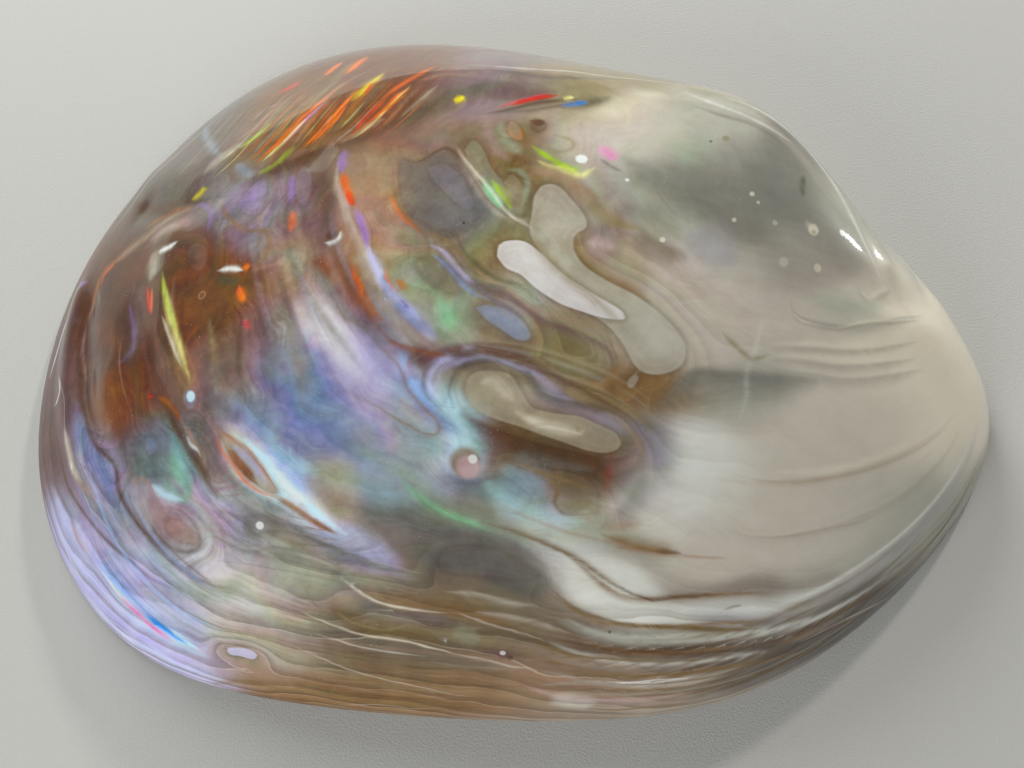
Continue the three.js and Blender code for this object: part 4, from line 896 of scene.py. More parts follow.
     [(-51, -11), (-49.2, -14.6), (-46.2, -18.6), (-44.4, -21.8), (-43, -24.2)]),
    ("mint of the blue eye", "mint", 0.5, 0.8, 0.8, [(-33.4, -17.4), (-32.6, -20), (-31.8, -22)]),
    ("white edge of the blue eye", "sky", 0.7, 0.5, 0.5, [(-36.8, -21.2), (-34.6, -22.6), (-32.2, -23.2)]),
    # The streak of light and its rose part are a painted highlight.
    ("streak of light", "azure_pale", 0.9, 1.3, 0.9,
     [(-50.8, -31.2), (-48.2, -33), (-46, -35.2), (-44.6, -37.2), (-43.2, -38.8), (-41.4, -41),
      (-38.8, -42.2)]),
    ("streak's rose part", "rose_pearl", 0.7, 0.3, 0.4, [(-49.4, -34.2), (-47.6, -36.2), (-46.2, -38.2)]),
    ("rim's white line", "white", 0.6, 0.4, 0.3,
     [(-60.8, -29), (-60.4, -32.6), (-58.4, -35.8), (-56.2, -38.2)]),
    # A painted highlight along the beak's edge.
    ("bright edge of the beak", "white", 0.5, 0.25, 0.3,
     [(26, 21), (30.6, 17.6), (34.4, 13.4), (36.6, 9), (37.8, 4.6), (38.8, 1), (40.6, -2.6)]),
    ("shade inside that edge", "warm_grey", 0.7, 0.2, 0.9,
     [(25.4, 19), (28.6, 16.6), (31.4, 14.4), (33.2, 12.2), (34.4, 9.2), (35.6, 6.6), (36.6, 4)]),
    ("dark line along that edge", "smoke", 0.6, 0.35, 0.15, [(27.8, 20.8), (38.2, 9.6)]),
    ("pale seam", "silver", 0.2, 0.3, 0.3, [(26.4, -6.8), (25.6, -9.8), (24.8, -12), (24.8, -14.6), (24, -17)]),
    ("cream step of the beak", "cream", 0.5, 0.15, 0.5,
     [(29, -5.4), (29.6, -6.8), (31.4, -7.6), (34.2, -8), (38, -7), (41.8, -6.2), (46.2, -4.6)]),
    ("shade of the beak's step", "smoke", 0.45, 0.1, 0.25,
     [(29, -5.4), (29.8, -7.2), (31.8, -7.8), (34.6, -8), (38, -7.2), (41.8, -6.4), (46.6, -4.8)]),
    ("beak's flake", "cream", 0.6, 0.3, 0.3, [(37.4, -4.2), (38.6, -4.6), (40.2, -3.6), (42, -2.8)]),
    ("umbo's brown flake", "cream_grey", 0.5, 0.3, 0.3, [(31.4, 2.2), (32, 1.4), (33, 1)]),
    ("yellow arc of the right side", "khaki", 0.3, 0.15, 0.3,
     [(23.6, -21.6), (26.8, -22.4), (30.8, -22.6), (35.4, -22.2), (41.2, -21), (47.2, -18.8), (52.8, -15.6)]),
    ("yellow arc's lower line", "khaki", 0.25, 0.1, 0.3,
     [(26.8, -28.4), (31, -28.4), (35.4, -27.8), (40.2, -27.2), (44.4, -25.6)]),
    ("edge of the crest, first", "tan", 0.45, 0.2, 0.2,
     [(-0.4, -23.4), (1.8, -24.6), (4.6, -26), (7.4, -27.2), (10.2, -28), (13, -28.8), (15.6, -29.6),
      (19.2, -30.2), (24, -30.6)]),
    ("broad white band", "silver", 0.8, 1.3, 1.3,
     [(5.8, -31.4), (8.6, -34.2), (11.8, -36.4), (15.4, -37), (20, -36.8), (24.6, -37), (29.6, -37),
      (35, -35.8)]),
    ("second broad band", "ash", 0.7, 0.9, 0.9,
     [(6.8, -37), (10, -39.2), (13.8, -40.2), (18.4, -40.4), (23.8, -40.4), (29.6, -40.4), (35, -38.8)]),
    ("third broad band", "warm_grey", 0.6, 0.6, 0.6,
     [(3.2, -40.4), (8, -43.2), (12.8, -44.8), (18.4, -45.4), (24.2, -45.2), (29.4, -44.6), (34.8, -43.2)]),
    ("brown line under that", "olive_brown", 0.8, 0.2, 0.5,
     [(8, -45), (13.2, -46.2), (18.6, -46.4), (24.4, -46.4), (30.4, -45.4), (35.8, -43.4)]),
    ("fourth broad band", "ash", 0.6, 0.5, 0.5,
     [(4.6, -47.6), (9.8, -47.2), (15.2, -48), (20.8, -48.2), (26.2, -47.4), (32, -46.4)]),
    # A painted highlight along the fourth band.
    ("fourth band's light line", "white", 0.7, 0.1, 0.15,
     [(12.2, -47.2), (15.8, -47.6), (19.4, -47.4), (23.2, -47.8)]),
    ("lowest brown line", "olive_brown", 0.7, 0.2, 0.4,
     [(11, -48.6), (16, -49.4), (21.4, -49.6), (26.6, -49), (32.2, -47.6)]),
    ("red bloom", "red", 0.1, 2.0, 2.0, [(11.2, -21.6), (12.2, -21.8)]),
    ("rose shade round the island", "rose_grey", 0.5, 0.6, 0.9,
     [(10.8, -20.2), (12.6, -20.4), (14, -19.8), (14.6, -18.8), (14.2, -17.4)]),
    ("island's third ring", "khaki", 0.6, 0.12, 0.2,
     [(14.8, -20.8), (14.8, -19.4), (14, -18), (12.6, -16.8), (11.2, -15.8)]),
    ("island's second ring", "khaki_pearl", 0.6, 0.12, 0.2,
     [(6.6, -17.6), (8.8, -18.4), (11, -19), (12.6, -18.8), (12.8, -18), (11.8, -17)]),
    ("islands' light heart", "cream", 0.7, 0.5, 0.4,
     [(3, -15.6), (5.2, -16.8), (7.2, -17.4), (9, -17.8), (9.4, -17.4)]),
    ("smudge edge of the blaze", "smoke", 0.5, 1.4, 0.6,
     [(15.2, -21.4), (14.6, -23), (13.6, -24.8), (12.2, -26.2)]),
    ("contour of the violet patch", "umber", 0.6, 0.15, 0.3,
     [(-8, 12), (-6.2, 11), (-3.6, 12.4), (-2.2, 11), (-0.6, 8), (0.8, 5.4), (2.8, 3.2), (4.8, 2)]),
    ("pale line beside it", "cream", 0.6, 0.2, 0.12,
     [(-1.8, 11), (-0.4, 8.6), (1, 6.4), (2.4, 4), (4, 2.6), (5, 1.8)]),
    ("orange outline of the patch", "salmon", 0.6, 0.2, 0.2,
     [(-8.8, 7.8), (-8.2, 5.8), (-7.2, 4.2), (-5.6, 2.4)]),
    ("rainbow glint's mint", "mint", 0.95, 0.35, 0.3,
     [(0.2, 8.2), (0.6, 6.8), (1.4, 5.2), (2.6, 3.8), (3.2, 3.2)]),
    ("rainbow glint's cyan", "sky", 0.9, 0.15, 0.15, [(0.4, 7.2), (1, 6), (1.8, 4.6)]),
    ("rainbow glint's lime", "lime", 0.8, 0.3, 0.25, [(1, 7.8), (1.6, 6.6), (2.4, 5.2), (3, 4)]),
    ("rainbow glint's yellow", "yellow_white", 0.8, 0.12, 0.12, [(1.2, 7), (2, 5.8), (2.6, 4.8)]),
    ("shade of the ring eye", "dark_olive", 0.6, 0.4, 0.4, [(3.2, 3.6), (4.2, 3.6), (4.6, 5.2), (4.8, 6.4)]),
    ("light round the ring eye", "sage", 0.6, 0.3, 0.3,
     [(2.4, 8.8), (3.6, 8.6), (4.4, 7.4), (4.2, 5.6), (3.8, 4.4)]),
    ("tan arch over the tongue", "tan", 0.7, 0.7, 0.5, [(4.4, 8), (6, 8.4), (7.8, 7.6), (9.2, 6), (10, 4.4)]),
    ("loop by the dark well", "khaki", 0.6, 0.25, 0.25,
     [(4.8, 13), (6, 12.2), (6.8, 11), (8.4, 11.2), (8.8, 12.2), (7.8, 13), (6.4, 13.4)]),
    ("yellow-green streak by the well", "lime", 0.8, 0.3, 0.3,
     [(4.8, 11.8), (6, 10.6), (7.4, 9.4), (9.2, 8.2)]),
    ("yellow-green streak's light", "yellow_white", 0.85, 0.18, 0.18,
     [(6.8, 9), (7.8, 9), (8.8, 8.4), (9.4, 7.8)]),
    ("red line of the slope's top", "rose", 0.8, 0.2, 0.2, [(1.2, 18.2), (3, 19.2), (4.8, 20), (6.8, 21)]),
    ("dark line of the slope's top", "umber", 0.8, 0.3, 0.4,
     [(-0.4, 17.2), (2.2, 17.8), (4.8, 19), (7, 19.6), (9.8, 20.2)]),
    ("dark line of the slope's top, low", "umber", 0.6, 0.3, 0.4,
     [(2.6, 17.4), (4.8, 17.8), (7, 18.6), (10, 19.8)]),
    ("lilac band beside the lens", "lilac", 0.8, 0.35, 0.35,
     [(-4.8, 1), (-3.2, 0), (-1.8, -2), (0, -3.6), (2, -4)]),
    ("dark line beside the lens", "umber_grey", 0.7, 0.2, 0.3,
     [(-4.2, 0.8), (-2.6, -0.4), (-1.2, -2.4), (0.8, -3.6), (3.2, -4.2), (4.8, -5.2)]),
    ("blue line beside the lens", "azure_grey", 0.7, 0.25, 0.2,
     [(-4.6, 0), (-3.2, -1.4), (-2, -3), (-0.6, -4.4), (1, -5.2)]),
    ("olive line beside the lens", "dark_olive", 0.6, 0.2, 0.3,
     [(-2.2, 2.2), (-1.6, 0.2), (-0.2, -1.6), (1.6, -3), (4, -3.8)]),
    ("lens's dark body", "dark_olive", 0.5, 1.1, 1.1, [(-5.2, -1), (-4.2, -2.2), (-3, -3.4)]),
    ("orange crumbs", "orange_brown", 0.8, 0.4, 0.4, [(-7.8, -2.6), (-7.2, -3.2), (-6.8, -4)]),
    ("dark above the beam", "smoke", 0.5, 1.5, 0.8,
     [(13.2, 10.6), (15.2, 8.4), (17.4, 6.2), (19.6, 4), (21.4, 2)]),
    ("dark under the beam", "taupe", 0.7, 0.5, 1.3, [(14.6, 2.2), (15.6, 0.8), (17.2, -0.2), (19.2, -1.2)]),
    ("violet glint of the umbo", "pink", 0.55, 0.5, 0.5, [(11.2, 12), (12, 10.8), (12.8, 9.8)]),
    ("dark scratch of the umbo", "smoke", 0.7, 0.2, 0.2, [(11.2, 10.2), (12.2, 9.2), (13.4, 8.4)]),
    ("rose flank under the arch", "rose_grey", 0.6, 1.1, 1.1, [(9.6, 0.6), (11, -0.2), (12.4, -1.2)]),
    ("golden edge above it", "khaki", 0.6, 0.3, 0.3, [(11.8, 2.8), (13, 2.2), (14.6, 2)]),
    # A painted highlight along the fine ridge of the umbo's edge.
    ("light fold of the umbo's edge", "white", 0.4, 0.4, 0.25,
     [(21.2, 22.8), (24.2, 19.4), (27.4, 16.8), (30.4, 14.4), (33, 12.4)]),
    ("shade fold of the umbo's edge", "umber_grey", 0.5, 0.4, 0.3,
     [(21.8, 19), (24.8, 16.6), (28.2, 14.8), (30.6, 12.6), (32.6, 10.8)]),
    ("first brown line", "umber", 0.75, 0.45, 0.15,
     [(13, -33.4), (14.8, -34.6), (16.8, -35.2), (19.6, -35), (22.4, -35), (24.2, -35)]),
    ("second crest line", "olive_brown", 0.8, 0.4, 0.2,
     [(-0.6, -26.2), (3, -27.4), (6.2, -28.8), (8.8, -30.2), (11, -32), (13.4, -33.8), (15.4, -35)]),
    ("brown wedge", "bronze", 0.75, 0.5, 0.2, [(10.8, -27.6), (13.8, -28.8), (16.4, -29.6), (19.4, -30)]),
    ("brown wedge's dark end", "umber", 0.6, 0.25, 0.15, [(16.4, -29.6), (18, -29.8), (19.4, -30)]),
    ("brown line under the broad band", "olive_brown", 0.95, 0.2, 0.5,
     [(5.8, -33.2), (8.4, -35.6), (11.2, -37.2), (14.4, -38.2), (17.8, -38.4), (22, -38.8), (26.8, -39.6),
      (30.4, -39.8)]),
    ("second line's dark part", "umber", 0.8, 0.3, 0.3,
     [(20, -38.8), (23.6, -39.4), (26.8, -39.8), (30.4, -40)]),
    ("dark line of the second band", "umber", 0.7, 0.3, 0.3,
     [(11.6, -40.8), (15.2, -41.8), (19.8, -42.8), (24.6, -43.2), (29.4, -43), (33.8, -42.4), (39, -40.6),
      (44.8, -38.2)]),
    ("olive line of the third band", "olive_brown", 0.85, 0.25, 0.45,
     [(0.6, -37.2), (4.6, -40), (8.8, -42.2), (13.2, -43), (18.6, -44), (24, -44.2), (29.6, -43.6),
      (35, -43)]),
    ("light band of the front rim", "rose_pearl", 0.6, 0.6, 0.6,
     [(2.6, -47.4), (7.4, -50.2), (13.2, -51.8), (19.8, -51.8), (24.8, -51.2)]),
    # A painted highlight along the fourth band.
    ("silver line of the fourth band", "white", 0.75, 0.12, 0.15,
     [(12.6, -47.2), (16, -47.8), (19.8, -47.8), (24.2, -47.4)]),
    ("brown dash of the front rim", "bronze", 0.8, 0.35, 0.35,
     [(10.4, -53.6), (14.2, -54.8), (18.6, -54.8), (23, -54.6), (27.4, -54)]),
    ("lilac haze under the dash", "lilac_grey", 0.4, 1.3, 1.3,
     [(20.4, -36.8), (24.8, -38), (30.8, -39.4), (35.4, -38.8)]),
    # The light beam is a painted reflection: a soft pale band across the umbo.
    ("light beam", "ash", 0.5, 1.3, 1.3,
     [(10.6, 8.8), (12.8, 7), (15.2, 5.2), (17.4, 3.4), (20, 1), (22.6, -1.2), (24.8, -3)]),
    ("umbo's lilac shade", "lilac_grey", 0.35, 1.8, 1.8, [(19, 1.6), (21.4, -0.2), (23.8, -2)]),
    ("contour of the saddle", "bronze", 0.6, 0.15, 0.3,
     [(-8.4, 13), (-8.6, 9.8), (-7.8, 5.8), (-5.8, 2.8), (-3.2, 1.2), (-1, -1.2), (0.6, -3.8), (3, -5.6)]),
    ("contour of the saddle, inner", "khaki", 0.5, 0.12, 0.25,
     [(-6.4, 2.6), (-4.6, 0.8), (-2.6, -1.2), (-0.8, -3.6), (1.2, -5.6), (3.6, -7.2)]),
    ("crest ring outside the island", "umber", 0.6, 0.2, 0.3,
     [(-3.8, -11.8), (-2, -10.6), (1, -10.2), (4, -11), (7.2, -12.6), (10.8, -14.6), (13.8, -16.4),
      (15.2, -18.4)]),
    ("light ring of the island", "lilac_pearl", 0.6, 0.3, 0.3,
     [(-4.2, -13.6), (-3.8, -11.8), (-2.2, -11), (0.6, -10.6), (3.6, -11.6), (7.2, -13.4)]),
    ("island's heart", "cream", 0.55, 0.5, 0.5, [(-0.2, -13), (1, -12.8), (2, -13.6), (3, -14.8)]),
]

# Pearls, pits and spots: colour, strength, radius and place. Those named light or highlight, and the white dots marked
# below, are painted highlights; those named shade are painted shade.
DOTS = [
    ("amber halo", "rust", 0.8, 2.4, (-29.5, -1.25)),
    ("blister pearl's shade", "bronze", 0.8, 1.5, (-1.75, -20.25)),
    ("blister pearl", "rose_pearl", 0.9, 1.15, (-1.5, -20.75)),
    ("blister pearl's light", "white", 0.85, 0.45, (-1, -20)),
    ("grey pearl's shade", "smoke", 0.5, 0.8, (-24.75, -26.5)),
    # The grey pearl's white dot is a painted glint.
    ("grey pearl", "white", 0.85, 0.45, (-23.5, -26.25)),
    ("brown spot", "olive", 0.6, 0.45, (24.5, 12.75)),
    ("dark pinhole 2", "umber", 0.6, 0.2, (22.75, 12.5)),
    ("dark pinhole 3", "umber", 0.7, 0.2, (12.5, -39.25)),
    ("olive ringlet", "khaki", 0.5, 0.6, (9, -11.25)),
    ("pit in the front", "plum", 0.7, 0.7, (0.75, -42)),
    ("pit's light", "white", 0.6, 0.35, (0.75, -41.75)),
    ("pit's dark end", "umber", 0.7, 0.4, (1.5, -42.5)),
    ("amber ring", "tan", 0.6, 0.55, (-29.75, -0.25)),
    ("amber heart", "rust", 0.8, 0.35, (-29.75, -0.25)),
    ("small pearl's halo", "lilac_grey", 0.6, 1.0, (-30.5, -12.25)),
    # The small pearl's bright dot is a painted highlight.
    ("small pearl", "sky", 0.85, 0.6, (-30.25, -12)),
    ("pale spot", "cream", 0.5, 0.28, (26, 5.25)),
    ("pale spot, tail", "cream", 0.4, 0.2, (26.5, 4.25)),
    ("pale spot 2", "cream", 0.45, 0.25, (23.75, 2.5)),
    ("pale spot 4", "cream", 0.5, 0.6, (32.25, 1.25)),
    ("pale spot 4's heart", "khaki", 0.5, 0.25, (32.25, 1)),
    # Pale spot 5 and its end are a painted highlight on the umbo.
    ("pale spot 5", "white", 0.9, 0.35, (35.75, 1.25)),
    ("pale spot 5, end", "white", 0.9, 0.3, (36.25, 1)),
    ("pale spot 8", "cream", 0.35, 0.45, (32.25, -2.5)),
    ("pale spot 9", "cream_grey", 0.35, 0.5, (28.5, -2)),
    ("pale spot 10", "cream_grey", 0.35, 0.3, (28, 2)),
    ("highlight by the umbo", "white", 0.9, 0.55, (9.5, 10)),
    ("white spot", "white", 0.7, 0.22, (13.75, 7.5)),
    ("pale spot 3", "cream", 0.75, 0.28, (16.75, 0.75)),
    ("dark pinhole", "umber", 0.9, 0.16, (-1.5, 3)),
    ("dark well", "umber", 0.85, 0.6, (5.5, 15.25)),
    ("dark well's edge", "rust", 0.7, 0.35, (5, 15.5)),
]

# Where the layers' edges show: strength, centre x and y, half lengths along and across, degrees turned.
BANDED = [
    (1.0, -16, -42, 24, 11, 165),
    (0.9, 26, -42, 24, 5, 178),
    (0.8, -52, -20, 10, 26, 20),
    (0.4, -30, -4, 16, 18, 0),
    (0.7, 6, -8, 12, 9, 140),
    (0.8, -18, 47, 34, 9, 170),
    (0.6, 40, 24, 16, 7, 135),
]

# Where rainbow colours run along the layers, in the same way.
SHIMMERING = [
    (1.0, -32, -8, 22, 30, 0),
    (0.8, -4, 2, 14, 14, 0),
    (0.8, -2, -18, 12, 8, 150),
    (0.8, -22, 22, 22, 8, 0),
    (0.6, -45, -42, 14, 12, 0),
    (0.5, -14, 44, 36, 9, 170),
]

# Fans of fine strokes: name, colours in turn, strength, half width, number, and the fan's first and last curve.
FANS = [
    (
        "glints of the hinge slope",
        ("amber", "umber", "tan", "rust", "khaki", "umber", "orange_brown", "taupe_dark"),
        0.65,
        0.3,
        30,
        [(-42, 20), (-39.5, 26), (-37, 35.5), (-30, 38)],
        [(-9, 15), (-6.5, 18), (-3.5, 21.5), (-1, 25.5)],
    ),
    (
        "fine light of the hinge slope",
        ("cream_grey", "salmon", "yellow_white", "orange"),
        0.5,
        0.14,
        22,
        [(-34.5, 17), (-30.5, 19.5), (-27, 25), (-23.5, 34)],
        [(-10.5, 15.5), (-8.5, 18), (-6, 20.5), (-3.5, 23)],
    ),
    (
        "strands of the narrow end",
        ("umber", "tan", "dark_rust", "plum", "copper_brown"),
        0.45,
        0.35,
        14,
        [(-52.5, 6), (-53, -2), (-51.5, -9.5), (-48, -16.5)],
        [(-29.5, 9), (-30, 1), (-28.5, -7), (-26.5, -13)],
    ),
    (
        "strands of the middle ridges",
        ("umber", "lilac_grey", "tan", "plum", "rose_grey"),
        0.4,
        0.35,
        14,
        [(-26, 13.5), (-24.5, 4), (-22, -4.5), (-19.5, -12.5)],
        [(-14, 12.5), (-12.5, 4), (-8.5, -4.5), (-3.5, -10)],
    ),
    (
        "growth lines of the lower left",
        ("umber_grey", "lilac_pearl", "slate", "sage", "plum", "azure_pale"),
        0.5,
        0.3,
        13,
        [(-53, -19), (-48.5, -31), (-40.5, -40.5), (-30, -47)],
        [(-42.5, -15.5), (-38, -25.5), (-30.5, -33), (-21, -36)],
    ),
    (
        "growth lines below the copper lens",
        ("smoke", "ash", "umber_grey", "cream_grey"),
        0.45,
        0.25,
        9,
        [(-29.5, -20), (-24.5, -25), (-17.5, -28.5), (-8, -32)],
        [(-33.5, -30), (-25.5, -30.5), (-17.5, -32), (-9.5, -34.5)],
    ),
    (
        "bands of the front right",
        ("olive_brown", "warm_grey", "umber", "taupe_dark", "ash", "umber"),
        0.75,
        0.5,
        14,
        [(5.5, -37.5), (16, -40.5), (29.5, -39), (46, -32.5), (56, -23)],
        [(2, -51), (16, -53), (30.5, -52), (47.5, -44.5), (61, -32.5)],
    ),
    (
        "bands of the brown front",
        ("umber", "khaki", "olive_brown", "tan"),
        0.4,
        0.3,
        14,
        [(-23.5, -33.5), (-15.5, -36.5), (-4.5, -38.5), (7, -40)],
        [(-32, -48), (-20, -52), (-7, -53), (12, -53)],
    ),
    (
        "rings outside the islands",
        ("umber", "khaki_pearl", "bronze", "ash"),
        0.4,
        0.2,
        6,
        [(-5.5, -11.5), (-1, -10), (5.5, -12), (12, -14.5), (16, -17.5)],
        [(-8, -11.5), (-2, -9), (5.5, -10), (13, -13), (17.5, -16.5)],
    ),
]

# How much the ground counts beside the zones, of which each counts about 1 at its centre.
GROUND = 0.05

# Strokes at least this wide on one side are painted; the finer ones are shared out over this many sheets.
WIDE = 0.95
SHEETS = 6

# About the size of a grid square of the outside, in millimetres.
GRID_STEP = 0.45


class PearlShellSizes(bpy.types.PropertyGroup):
    """Sizes of the shell and of its grid."""

    crown_height: FloatProperty(
        name="Crown height",
        description="Height of the dome's crown over the table, before its swellings",
        default=35.8 * MM,
        unit="LENGTH",
    )
    crown_wall: FloatProperty(
        name="Wall at the crown", description="Thickness of the wall at the crown", default=3.4 * MM, unit="LENGTH"
    )
    rim_width: FloatProperty(
        name="Rim width", description="Width of the flat rim that the valve rests on", default=2.8 * MM, unit="LENGTH"
    )
    hinge_width: FloatProperty(
        name="Hinge width", description="Width of the flat rim below the hinge", default=6.5 * MM, unit="LENGTH"
    )
    columns: IntProperty(
        name="Columns", description="Grid squares of the outside along its length", default=345, subtype="UNSIGNED"
    )
    rows: IntProperty(
        name="Rows", description="Grid squares of the outside along its width", default=270, subtype="UNSIGNED"
    )


class PearlShellStage(bpy.types.PropertyGroup):
    """Camera and table."""

    elevation: FloatProperty(
        name="Camera elevation",
        description="How far above the table the camera looks down",
        default=math.radians(62),
        subtype="ANGLE",
    )
    distance: FloatProperty(
        name="Camera distance", description="From the camera to the point looked at", default=0.26, unit="LENGTH"
    )
    frame_width: FloatProperty(
        name="Width in view", description="Width seen at the point looked at", default=0.165, unit="LENGTH"
    )
    look_at: FloatVectorProperty(
        name="Look at", description="The point that the camera looks at", default=(0.0001, -0.0057, 0), unit="LENGTH"
    )
    table_colour: FloatVectorProperty(
        name="Table colour", description="Colour of the table", default=(0.43, 0.425, 0.4), subtype="COLOR"
    )


def rim_points(turns):
    """The rim as a closed uniform cubic B-spline on its control points, at the given parts of a turn.

    Each point is a blend of four neighbouring control points with the cubic B-spline weights.
    """
    corners = np.array(RIM, float)
    span = (np.asarray(turns, float) % 1.0) * len(corners)
    first = np.floor(span).astype(int)
    u = (span - first)[..., None]
    weights = [(1 - u) ** 3, 3 * u**3 - 6 * u**2 + 4, -3 * u**3 + 3 * u**2 + 3 * u + 1, u**3]
    blended = sum(w * corners[(first + k - 1) % len(corners)] for k, w in enumerate(weights))
    return blended / 6


def rounded(points, per_span=6):
    """Points along a Catmull-Rom curve through the given ones: more of them, and no sharp corners."""
    p = np.array(points, float)
    if len(p) < 3:
        return p
    ends = np.vstack([2 * p[0] - p[1], p, 2 * p[-1] - p[-2]])
    u = np.linspace(0, 1, per_span, endpoint=False)[:, None]
    spans = []
    for i in range(len(p) - 1):
        a, b, c, d = ends[i : i + 4]
        spans.append(0.5 * (2 * b + (c - a) * u + (2 * a - 5 * b + 4 * c - d) * u**2 + (3 * b - a - 3 * c + d) * u**3))
    return np.vstack([*spans, p[-1:]])


def near_curve(x, y, points, reach):
    """Distance, side and share along for each place within reach of a curve, and which places those are.

    The distance is to the nearest piece of the curve; the side is +1 to its left; the share runs from 0 to 1.
    """
    path = rounded([q[:2] for q in points])
    low, high = path.min(0) - reach, path.max(0) + reach
    inside = np.flatnonzero((x > low[0]) & (x < high[0]) & (y > low[1]) & (y < high[1]))
    px, py = x[inside], y[inside]
    best = np.full(len(inside), 1e9)
    side = np.ones(len(inside))
    share = np.zeros(len(inside))
    run = np.r_[0, np.cumsum(np.hypot(*np.diff(path, axis=0).T))]
    for i in range(len(path) - 1):
        (ax, ay), (bx, by) = path[i], path[i + 1]
        dx, dy = bx - ax, by - ay
        length2 = max(dx * dx + dy * dy, 1e-9)
        t = np.clip(((px - ax) * dx + (py - ay) * dy) / length2, 0, 1)
        d = np.hypot(px - ax - t * dx, py - ay - t * dy)
        closer = d < best
        best = np.where(closer, d, best)
        side = np.where(closer, np.sign(dx * (py - ay) - dy * (px - ax)), side)
        share = np.where(closer, (run[i] + t * math.sqrt(length2)) / run[-1], share)
    return inside, best, side, share


def bell(x, y, swelling):
    """A turned, stretched bell curve: 1 at the swelling's centre, falling off as a normal curve does."""
    cx, cy, along, across, turn = swelling[:5]
    l = ((x - cx) * math.cos(turn) + (y - cy) * math.sin(turn)) / along
    n = (-(x - cx) * math.sin(turn) + (y - cy) * math.cos(turn)) / across
    return np.exp(-0.5 * (l * l + n * n))


def dome(out, turns, height, inset):
    """Points of the plain dome and their places on the chart.

    A point's plan place goes from the crown to the rim as the sine of a quarter turn, and its height falls as
    the cosine of that quarter turn, raised to the fullness that the rim has there. Two bells are added for the
    umbo and the beak. inset moves the rim inwards, square to its run.
    """
    rim = rim_points(turns)
    run = rim_points(turns + 0.002)[..., :2] - rim_points(turns - 0.002)[..., :2]
    run /= np.linalg.norm(run, axis=-1, keepdims=True)
    rim_xy = rim[..., :2] + np.stack([run[..., 1], -run[..., 0]], -1) * np.asarray(inset)[..., None]
    crown = np.array(CROWN)
    chart = crown + out[..., None] * (rim_xy - crown)
    quarter = out * math.pi / 2
    plan = crown + np.sin(quarter)[..., None] * (rim_xy - crown)
    z = height * np.clip(np.cos(quarter), 0, 1) ** rim[..., 2]
    points = np.concatenate([plan, np.where(out >= 1, 0, z)[..., None]], -1)
    for swelling in (UMBO, BEAK):
        part = bell(chart[..., 0], chart[..., 1], swelling) * (1 - out**8)
        points += part[..., None] * np.array(swelling[5:8])
    return points, chart


def outward(out, turns, height, inset):
    """The dome's outward normals, from the difference of points a small step out and a small step round."""
    step = 0.004
    outer = np.clip(out + step, 0, 1)
    radial = dome(outer, turns, height, inset)[0] - dome(outer - 2 * step, turns, height, inset)[0]
    around = dome(out, turns + step, height, inset)[0] - dome(out, turns - step, height, inset)[0]
    normal = np.cross(around, radial)
    length = np.linalg.norm(normal, axis=-1, keepdims=True)
    normal = np.where(length > 1e-9, normal / np.maximum(length, 1e-9), [0, 0, 1])
    return np.where(out[..., None] < 0.01, [0, 0, 1], normal)


def outside_relief(x, y):
    """How far the outside stands proud of the plain dome: a bell across each fold and round each lump."""
    rise = np.zeros_like(x)
    for _, width, height, places in FOLDS:
        at, distance, _, _ = near_curve(x, y, places, 4 * width)
        rise[at] += height * np.exp(-0.5 * (distance / width) ** 2)
    for _, cx, cy, size, height in LUMPS:
        rise += height * np.exp(-0.5 * ((x - cx) ** 2 + (y - cy) ** 2) / size**2)
    return rise


def inside_relief(x, y):
    """The hollow's relief: flat-bottomed round scars, and one bell-shaped ridge along the hinge."""
    rise = np.zeros_like(x)
    for cx, cy, along, across, depth in SCARS:
        spread2 = ((x - cx) / along) ** 2 + ((y - cy) / across) ** 2
        rise += depth * np.exp(-(spread2**2))
    width, height, places = HINGE_TOOTH
    at, distance, _, _ = near_curve(x, y, places, 4 * width)
    rise[at] -= height * np.exp(-0.5 * (distance / width) ** 2)
    return rise


def waves(x, y, size, seed):
    """A smooth irregular field from about -1 to 1: a sum of plane waves, all of about the given length."""
    total = np.zeros_like(x)
    for k in range(8):
        angle = 2.4 * k + seed
        length = size * (0.7 + 0.12 * k)
        total += np.sin(2 * math.pi * (x * math.cos(angle) + y * math.sin(angle)) / length + 1.7 * k * k + seed)
    return total / 4


def linear(name):
    """A named colour's red, green and blue as linear light: the sRGB curve undone."""
    code = COLOURS[name].lstrip("#")
    values = np.array([int(code[i : i + 2], 16) / 255 for i in (0, 2, 4)])
    return np.where(values <= 0.04045, values / 12.92, ((values + 0.055) / 1.055) ** 2.4)


def all_strokes():
    """The strokes, and those of the fans.

    A fan's curves pass from its first to its last in nearly even steps. Their spacing, ends, strength and width
    are varied by sines of their number.
    """
    strokes = list(STROKES)
    for name, colours, strength, width, number, first, last in FANS:
        first, last = rounded(first), rounded(last)
        for k in range(number):
            part = (k + 0.4 * math.sin(5.1 * k)) / (number - 1)
            curve = first + part * (last - first)
            start = int(len(curve) * 0.2 * (1 + math.sin(2.3 * k)))
            stop = len(curve) - int(len(curve) * 0.15 * (1 + math.sin(3.7 * k)))
            share = strength * (0.75 + 0.25 * math.sin(4.3 * k))
            half = width * (0.8 + 0.4 * math.sin(2.9 * k))
            strokes.append((f"{name} {k + 1}", colours[k % len(colours)], share, half, half, curve[start:stop:3]))
    return strokes


def stroke_at(x, y, strength, left, right, places):
    """Which places a stroke reaches, their distance from it, how far across it, and their share of its colour.

    The third is a multiple of the stroke's width there, positive to its left. A stroke grows thin towards its
    ends and fades out at them.
    """
    at, distance, side, along = near_curve(x, y, places, 2.2 * max(left, right) + 0.6)
    ends = np.clip(4 * along, 0, 1) * np.clip(4 * (1 - along), 0, 1)
    width = np.where(side > 0, left, right) * (0.3 + 0.7 * ends)
    fading = np.clip((2.2 * width + 0.6 - distance) / (width + 0.3), 0, 1)
    return at, distance, side * distance / width, strength * np.sqrt(ends) * fading


